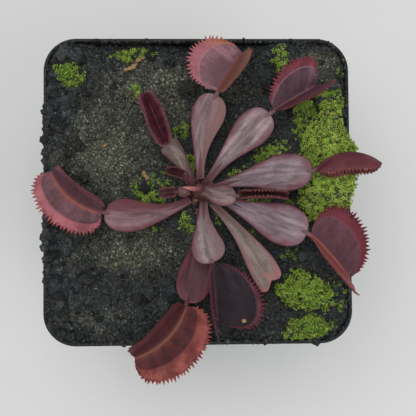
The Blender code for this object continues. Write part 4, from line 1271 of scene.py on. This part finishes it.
def make_cushion(cushion, rng):
    """A moss cushion: a bumpy mound, dark partly with its own colour and partly with painted shade, thick
    with shoots.
    """
    rings, sectors = 16, 72
    share = np.linspace(0.02, 1.0, rings)[:, None]
    a = np.arange(sectors)[None, :] * 2 * math.pi / sectors
    x, y = cushion_place(cushion, share, a)
    z = cushion_top(cushion, x, y, share)
    z = z - 0.5 + 0.35 * noise_at(columns(x, y, z), 1.1, 5.0)
    low_x, low_y = cushion_place(cushion, np.array((0.97, 0.5))[:, None], a)
    low = columns(low_x, low_y, ground_height(low_x, low_y) + 0.25)
    grid = np.concatenate((columns(x, y, z), low))
    faces = ring_faces(len(grid), sectors)
    points = grid.reshape(-1, 3)
    # The mound takes the dark depth colour: partly its own, partly painted shade.
    tones = columns(0.25 + 0.3 * noise_at(points, 1.2), 0.4, 0.0)
    pile = MossPile(rng)
    area = math.pi * cushion["size"][0] * cushion["size"][1]
    for _ in range(int(area * CUSHION_SHOOTS)):
        share = np.array(math.sqrt(rng.uniform(0.0, 1.02)))
        angle = np.array(rng.uniform(0, 2 * math.pi))
        x, y = cushion_place(cushion, share, angle)
        z = cushion_top(cushion, x, y, np.minimum(share, 1.0)) - 0.55
        outward = 0.9 * float(share) ** 3
        grow = (outward * math.cos(angle), outward * math.sin(angle), 1.0)
        pile.grow(x, y, z, grow, 1.0 - 0.15 * float(share), cushion["lively"])
    pile.add(points, faces, tone=tones)
    pile.build_moss(cushion["name"] + "_fine", cushion["name"])


def make_moss_patches(rng):
    """The thinner moss between the leaves: shoots in patches, sparser towards their edges."""
    pile = MossPile(rng)
    for cx, cy, rx, ry, turn, density, lively in MOSS_PATCHES:
        c, s = math.cos(math.radians(turn)), math.sin(math.radians(turn))
        for _ in range(int(math.pi * rx * ry * density)):
            r = math.sqrt(rng.uniform()) * rng.uniform(0.8, 1.15)
            a = rng.uniform(0, 2 * math.pi)
            u, v = rx * r * math.cos(a), ry * r * math.sin(a)
            x, y = cx + u * c - v * s, cy + u * s + v * c
            edge = float(rounded_reach(np.array(math.atan2(y, x)), RIM_HALF, RIM_CORNER)) - math.hypot(x, y)
            if edge < 1.6 or math.hypot(x - CROWN_X, y - CROWN_Y) < 3.6:
                continue
            z = float(top_of_soil(np.array(x), np.array(y)))
            pile.grow(x, y, z - 0.05, (0.0, 0.0, 1.0), rng.uniform(0.65, 1.0), lively)
    pile.build_moss("moss_patches")


# ---------------------------------------------------------------- pot

def make_pot():
    """The nursery pot: a thin tapered wall, a band with a rolled edge round its top, and drain holes."""
    band = POT_HEIGHT - BAND_HEIGHT

    def wall(z):
        share = z / band
        return (BASE_HALF + (RIM_HALF - BAND_STEP - BASE_HALF) * share,
                BASE_CORNER + (RIM_CORNER - BAND_STEP - BASE_CORNER) * share)

    loops = []
    for k in range(7):
        turn = math.radians(15 * k)
        half, corner = wall(1.0)
        loops.append((half - 1.0 + math.sin(turn), corner - 1.0 + math.sin(turn), 1.0 - math.cos(turn)))
    for z in np.linspace(3.0, band - BAND_STEP - 0.6, 12):
        loops.append((*wall(z), z))
    half, corner = wall(band - BAND_STEP)
    for k in range(5):
        share = smooth(k / 4.0)
        loops.append((half + share * (RIM_HALF - 0.3 - half), corner + share * (RIM_CORNER - 0.3 - corner),
                      band - BAND_STEP + k * BAND_STEP / 4))
    loops.append((RIM_HALF - 0.28, RIM_CORNER - 0.28, band + 0.4))
    loops.append((RIM_HALF - 0.12, RIM_CORNER - 0.12, POT_HEIGHT - 1.8))
    for k in range(9):
        turn = math.radians(-60 + 150 * k / 8)
        loops.append((RIM_HALF - 0.5 + 0.5 * math.cos(turn), RIM_CORNER - 0.5 + 0.5 * math.cos(turn),
                      POT_HEIGHT - 0.5 + 0.5 * math.sin(turn)))
    loops.append((RIM_HALF - WALL + 0.15, RIM_CORNER - WALL + 0.15, POT_HEIGHT))
    loops.append((RIM_HALF - WALL - 0.1, RIM_CORNER - WALL, POT_HEIGHT - 0.35))
    loops.append((inside_half(band + BAND_STEP), RIM_CORNER - WALL, band + BAND_STEP))
    loops.append((inside_half(band), wall(band)[1] - WALL, band))
    loops.append((inside_half(FLOOR + 1.0), wall(FLOOR)[1] - WALL, FLOOR + 1.0))
    loops.append((inside_half(FLOOR) - 1.0, wall(FLOOR)[1] - WALL - 1.0, FLOOR))
    points = []
    for half, corner, z in loops:
        for quarter in range(4):
            cx = (half - corner) * (1 if quarter in (0, 3) else -1)
            cy = (half - corner) * (1 if quarter in (0, 1) else -1)
            for k in range(POT_CORNER_STEPS + 1):
                a = math.radians(90 * quarter + 90 * k / POT_CORNER_STEPS)
                points.append((cx + corner * math.cos(a), cy + corner * math.sin(a), z))
            far = math.radians(90 * quarter + 90)
            nx = (half - corner) * (1 if (quarter + 1) % 4 in (0, 3) else -1)
            ny = (half - corner) * (1 if (quarter + 1) % 4 in (0, 1) else -1)
            for k in range(1, POT_SIDE_STEPS):
                share = k / POT_SIDE_STEPS
                points.append((cx + (nx - cx) * share + corner * math.cos(far),
                               cy + (ny - cy) * share + corner * math.sin(far), z))
    faces = ring_faces(len(loops), 4 * (POT_CORNER_STEPS + POT_SIDE_STEPS))
    pot = make_piece("pot_fine", points, faces, pot_material(), "pot")
    cut_drains(pot)
    pot.data.set_sharp_from_angle(angle=math.radians(40.0))


def cut_drains(pot):
    """Cuts the ring of drain holes through the pot's floor."""
    shape = bmesh.new()
    for i in range(DRAINS):
        spread = DRAIN_SPREAD * (1.0 if i % 2 else 1.05)
        made = bmesh.ops.create_cone(shape, cap_ends=True, segments=32, radius1=DRAIN_RADIUS * MM,
                                     radius2=DRAIN_RADIUS * MM, depth=4 * FLOOR * MM)
        move = Vector((spread * round(math.cos(i * math.pi / 4)),
                       spread * round(math.sin(i * math.pi / 4)), 0.0))
        bmesh.ops.translate(shape, verts=made["verts"], vec=move * MM)
    mesh = bpy.data.meshes.new("drains")
    shape.to_mesh(mesh)
    shape.free()
    cutter = add_object("drains", mesh)
    cut = pot.modifiers.new("drains", "BOOLEAN")
    cut.operation = "DIFFERENCE"
    cut.object = cutter
    bpy.context.view_layer.update()
    whole = pot.evaluated_get(bpy.context.evaluated_depsgraph_get())
    pot_mesh = bpy.data.meshes.new_from_object(whole)
    pot.modifiers.clear()
    pot.data = pot_mesh
    bpy.data.objects.remove(cutter, do_unlink=True)


def pot_material():
    """Matte black plastic, with paler patches, runs of dust, soil splashes near the top and dust towards the
    bottom.
    """
    g = Graph("pot_black")
    grain = g.noise(0.35, 3.0)
    broad = g.noise(14.0, 4.0, 0.6)
    runs = g.noise(2.6, 4.0, 0.6, g.stretched(g.place, (1.0, 1.0, 0.12)))
    color = g.layers(PLASTIC, (broad, 0.4, 0.65, 1.0, tint(PLASTIC, 1.7)), (runs, 0.52, 0.74, 0.35, POT_DUST))
    height = g.add("SeparateXYZ")
    g.join(g.place, height.inputs[0])
    high = g.range(height.outputs[2], (POT_HEIGHT - 14.0) * MM, POT_HEIGHT * MM)
    splash = g.math("MULTIPLY", g.range(g.noise(1.6, 4.0, 0.7), 0.55, 0.68), high)
    color = g.mix(g.math("MULTIPLY", splash, 0.8), color, tint(PEAT, 0.9))
    low = g.range(height.outputs[2], 9.0 * MM, 0.0, 0.0, 0.4)
    color = g.mix(g.math("MULTIPLY", low, broad), color, POT_DUST)
    roughness = g.range(broad, 0.3, 0.7, 0.42, 0.6)
    normal = g.bump(grain, 0.05, 0.5)
    normal = g.bump(splash, 0.3, 0.6, normal)
    return g.finish(color, roughness, normal, 0.32)


# ---------------------------------------------------------------- crown and bud

def make_crown(rng):
    """The rhizome's top: a bulb with a ring of old, cut leaf bases folded over it."""
    g = Graph("crown_skin")
    along = g.channels("tone")[0]
    fine = g.noise(0.5, 4.0)
    color = g.layers(
        CROWN_DARK,
        (fine, 0.35, 0.68, 1.0, CROWN_RED),
        (g.noise(1.6), 0.5, 0.7, 0.7, CROWN_PALE),
        (along, 0.75, 1.0, 0.7, PEAT))
    g.finish(color, 0.6, g.bump(fine, 0.2, 0.8), 0.35)
    pile = Pile("tone")
    heights = np.linspace(0.0, 1.0, 26)
    foot = SOIL_LEVEL - 8.0
    path = columns(CROWN_X, CROWN_Y, foot + (CROWN_TOP - foot) * heights)
    radii = CROWN_RADIUS * np.sqrt(np.clip(1.0 - abs(heights * 1.9 - 0.95) ** 2.6, 0.02, 1.0))
    points, faces = tube(path, radii, 28, up=np.array((0.0, 1.0, 0.0)))
    points = points + unit(points - points.mean(axis=0)) * (0.3 * noise_at(points, 1.4))[:, None]
    pile.add(points, faces, tone=(0.2, 0.0, 0.0))
    for k in range(OLD_BASES):
        azimuth = k * 137.5 + rng.uniform(-14, 14)
        t = np.linspace(0.0, 1.0, 12)
        reach = CROWN_RADIUS * (0.55 + 0.62 * t) + rng.uniform(0.0, 0.7) * t
        rise = CROWN_TOP - 1.6 + 2.6 * t - 2.0 * t * t + rng.uniform(-0.3, 0.5)
        middle = lean(azimuth) * reach[:, None] + UP * rise[:, None] + np.array((CROWN_X, CROWN_Y, 0.0))
        side = lean(azimuth + 90.0)
        v = np.linspace(-1.0, 1.0, 9)
        half = (0.95 - 0.25 * t) * rng.uniform(0.8, 1.15)
        grid = middle[:, None] + side * (half[:, None] * v)[..., None] + UP * (0.35 * v ** 2)[None, :, None]
        blade, quads, tones, _ = shell(grid, 0.4, tone=(t[:, None], abs(v), 0.0))
        pile.add(blade, quads, **tones)
    pile.build("crown_fine", g.material, "rhizome", "crown")


def make_bud():
    """The newest leaf, furled to a point, with a seam along its top."""
    g = Graph("bud_skin")
    along, from_seam, _ = g.channels("tone")
    fine = g.noise(0.5, 4.0)
    color = g.layers(
        BUD_FOOT,
        (along, 0.1, 0.9, 1.0, BUD_TIP),
        (fine, 0.4, 0.7, 0.5, BUD_FOOT),
        (from_seam, 0.12, 0.0, 0.8, tint(BUD_FOOT, 0.5)))
    g.finish(color, 0.5, g.bump(fine, 0.1, 0.6), 0.4)
    steps, sides = 30, 20
    t = np.linspace(0.0, 1.0, steps)
    width = np.interp(t, (0.0, 0.12, 0.32, 0.6, 0.85, 1.0), (0.35, 0.85, 1.0, 0.8, 0.45, 0.05))
    along_axis = lean(176.0, 12.0)
    side = unit(np.cross(UP, along_axis))
    up = np.cross(along_axis, side)
    foot = np.array((CROWN_X + 0.6, CROWN_Y + 0.4, 72.2))
    a = np.arange(sides) * 2 * math.pi / sides
    seam = np.exp(-((a - math.pi / 2) / 0.3) ** 2)
    radius = width[:, None] * (1.0 - 0.28 * seam)
    rings = foot + along_axis * (t * BUD_LENGTH)[:, None, None] \
        + side * (radius * 0.75 * np.cos(a))[..., None] \
        + up * (radius * 0.85 * np.sin(a))[..., None] \
        + side * (0.25 * np.sin(t * 3.0))[:, None, None]
    faces = ring_faces(steps, sides)
    tones = columns(t[:, None], (1.0 - seam)[None, :], 0.0)
    make_piece("leaf_bud_fine", rings.reshape(-1, 3), faces, g.material, "leaf_bud",
               {"tone": tones.reshape(-1, 3)})


# ---------------------------------------------------------------- stage

def make_stage():
    """The pale floor, the light and the camera."""
    g = Graph("floor_paint")
    fine = g.noise(20.0, 3.0)
    g.finish(g.mix(fine, tint(FLOOR_TONE, 0.985), tint(FLOOR_TONE, 1.015)), 0.6, g.bump(fine, 0.02, 0.2), 0.3)
    mesh = bpy.data.meshes.new("floor")
    corners = [(x * FLOOR_REACH, y * FLOOR_REACH, 0) for x, y in ((-1, -1), (1, -1), (1, 1), (-1, 1))]
    mesh.from_pydata(corners, [], [(0, 1, 2, 3)])
    mesh.materials.append(g.material)
    floor = add_object("floor", mesh)

    world = bpy.data.worlds.new("studio")
    world.use_nodes = True
    sky = world.node_tree.nodes["Background"].inputs
    sky["Color"].default_value = (*SKY_TONE, 1.0)
    sky["Strength"].default_value = SKY_STRENGTH
    bpy.context.scene.world = world
    for name, place, size, power in LAMPS:
        lamp = bpy.data.lights.new(name, "AREA")
        lamp.shape = "DISK"
        lamp.size = size
        lamp.energy = power
        lamp.color = LAMP_TONE
        obj = add_object(name, lamp)
        obj.location = place
        obj.rotation_euler = (LAMP_AIM - Vector(place)).to_track_quat("-Z", "Y").to_euler()

    data = bpy.data.cameras.new("camera")
    data.lens = CAMERA_LENS
    data.clip_start = 0.01
    camera = add_object("camera", data)
    forward = (Vector(CAMERA_AIM) - Vector(CAMERA_AT)).normalized()
    right = forward.cross(Vector(CAMERA_UP)).normalized()
    turn = Matrix((right, right.cross(forward), -forward)).transposed()
    camera.matrix_world = Matrix.Translation(Vector(CAMERA_AT) * MM) @ turn.to_4x4()
    bpy.context.scene.camera = camera
    bpy.context.scene.view_settings.view_transform = "Standard"


def main():
    make_stage()
    rng = np.random.default_rng(SEED)
    make_pot()
    make_soil()
    make_grains("soil_lumps", 2900, (0.6, 2.1), 2, rng, 0.34, left_band, sink=0.28, rough=0.1, margin=0.5)
    make_grains("soil_crumbs", 8200, (0.24, 0.7), 1, rng, 0.5, margin=0.4)
    make_grains("soil_grit", 7000, (0.2, 0.72), 0, rng, 0.68, grit_share, margin=0.3)
    make_grains("soil_flecks", 260, (0.16, 0.34), 1, rng, 0.9, kind=0.75, margin=0.3)
    make_rim_crumbs(rng)
    make_fibres(rng)
    for cushion in CUSHIONS:
        make_cushion(cushion, rng)
    make_moss_patches(rng)
    make_crown(rng)
    for leaf in LEAVES:
        make_leaf(leaf, rng)
    make_bud()
    make_debris(rng)


main()
bpy.context.view_layer.update()
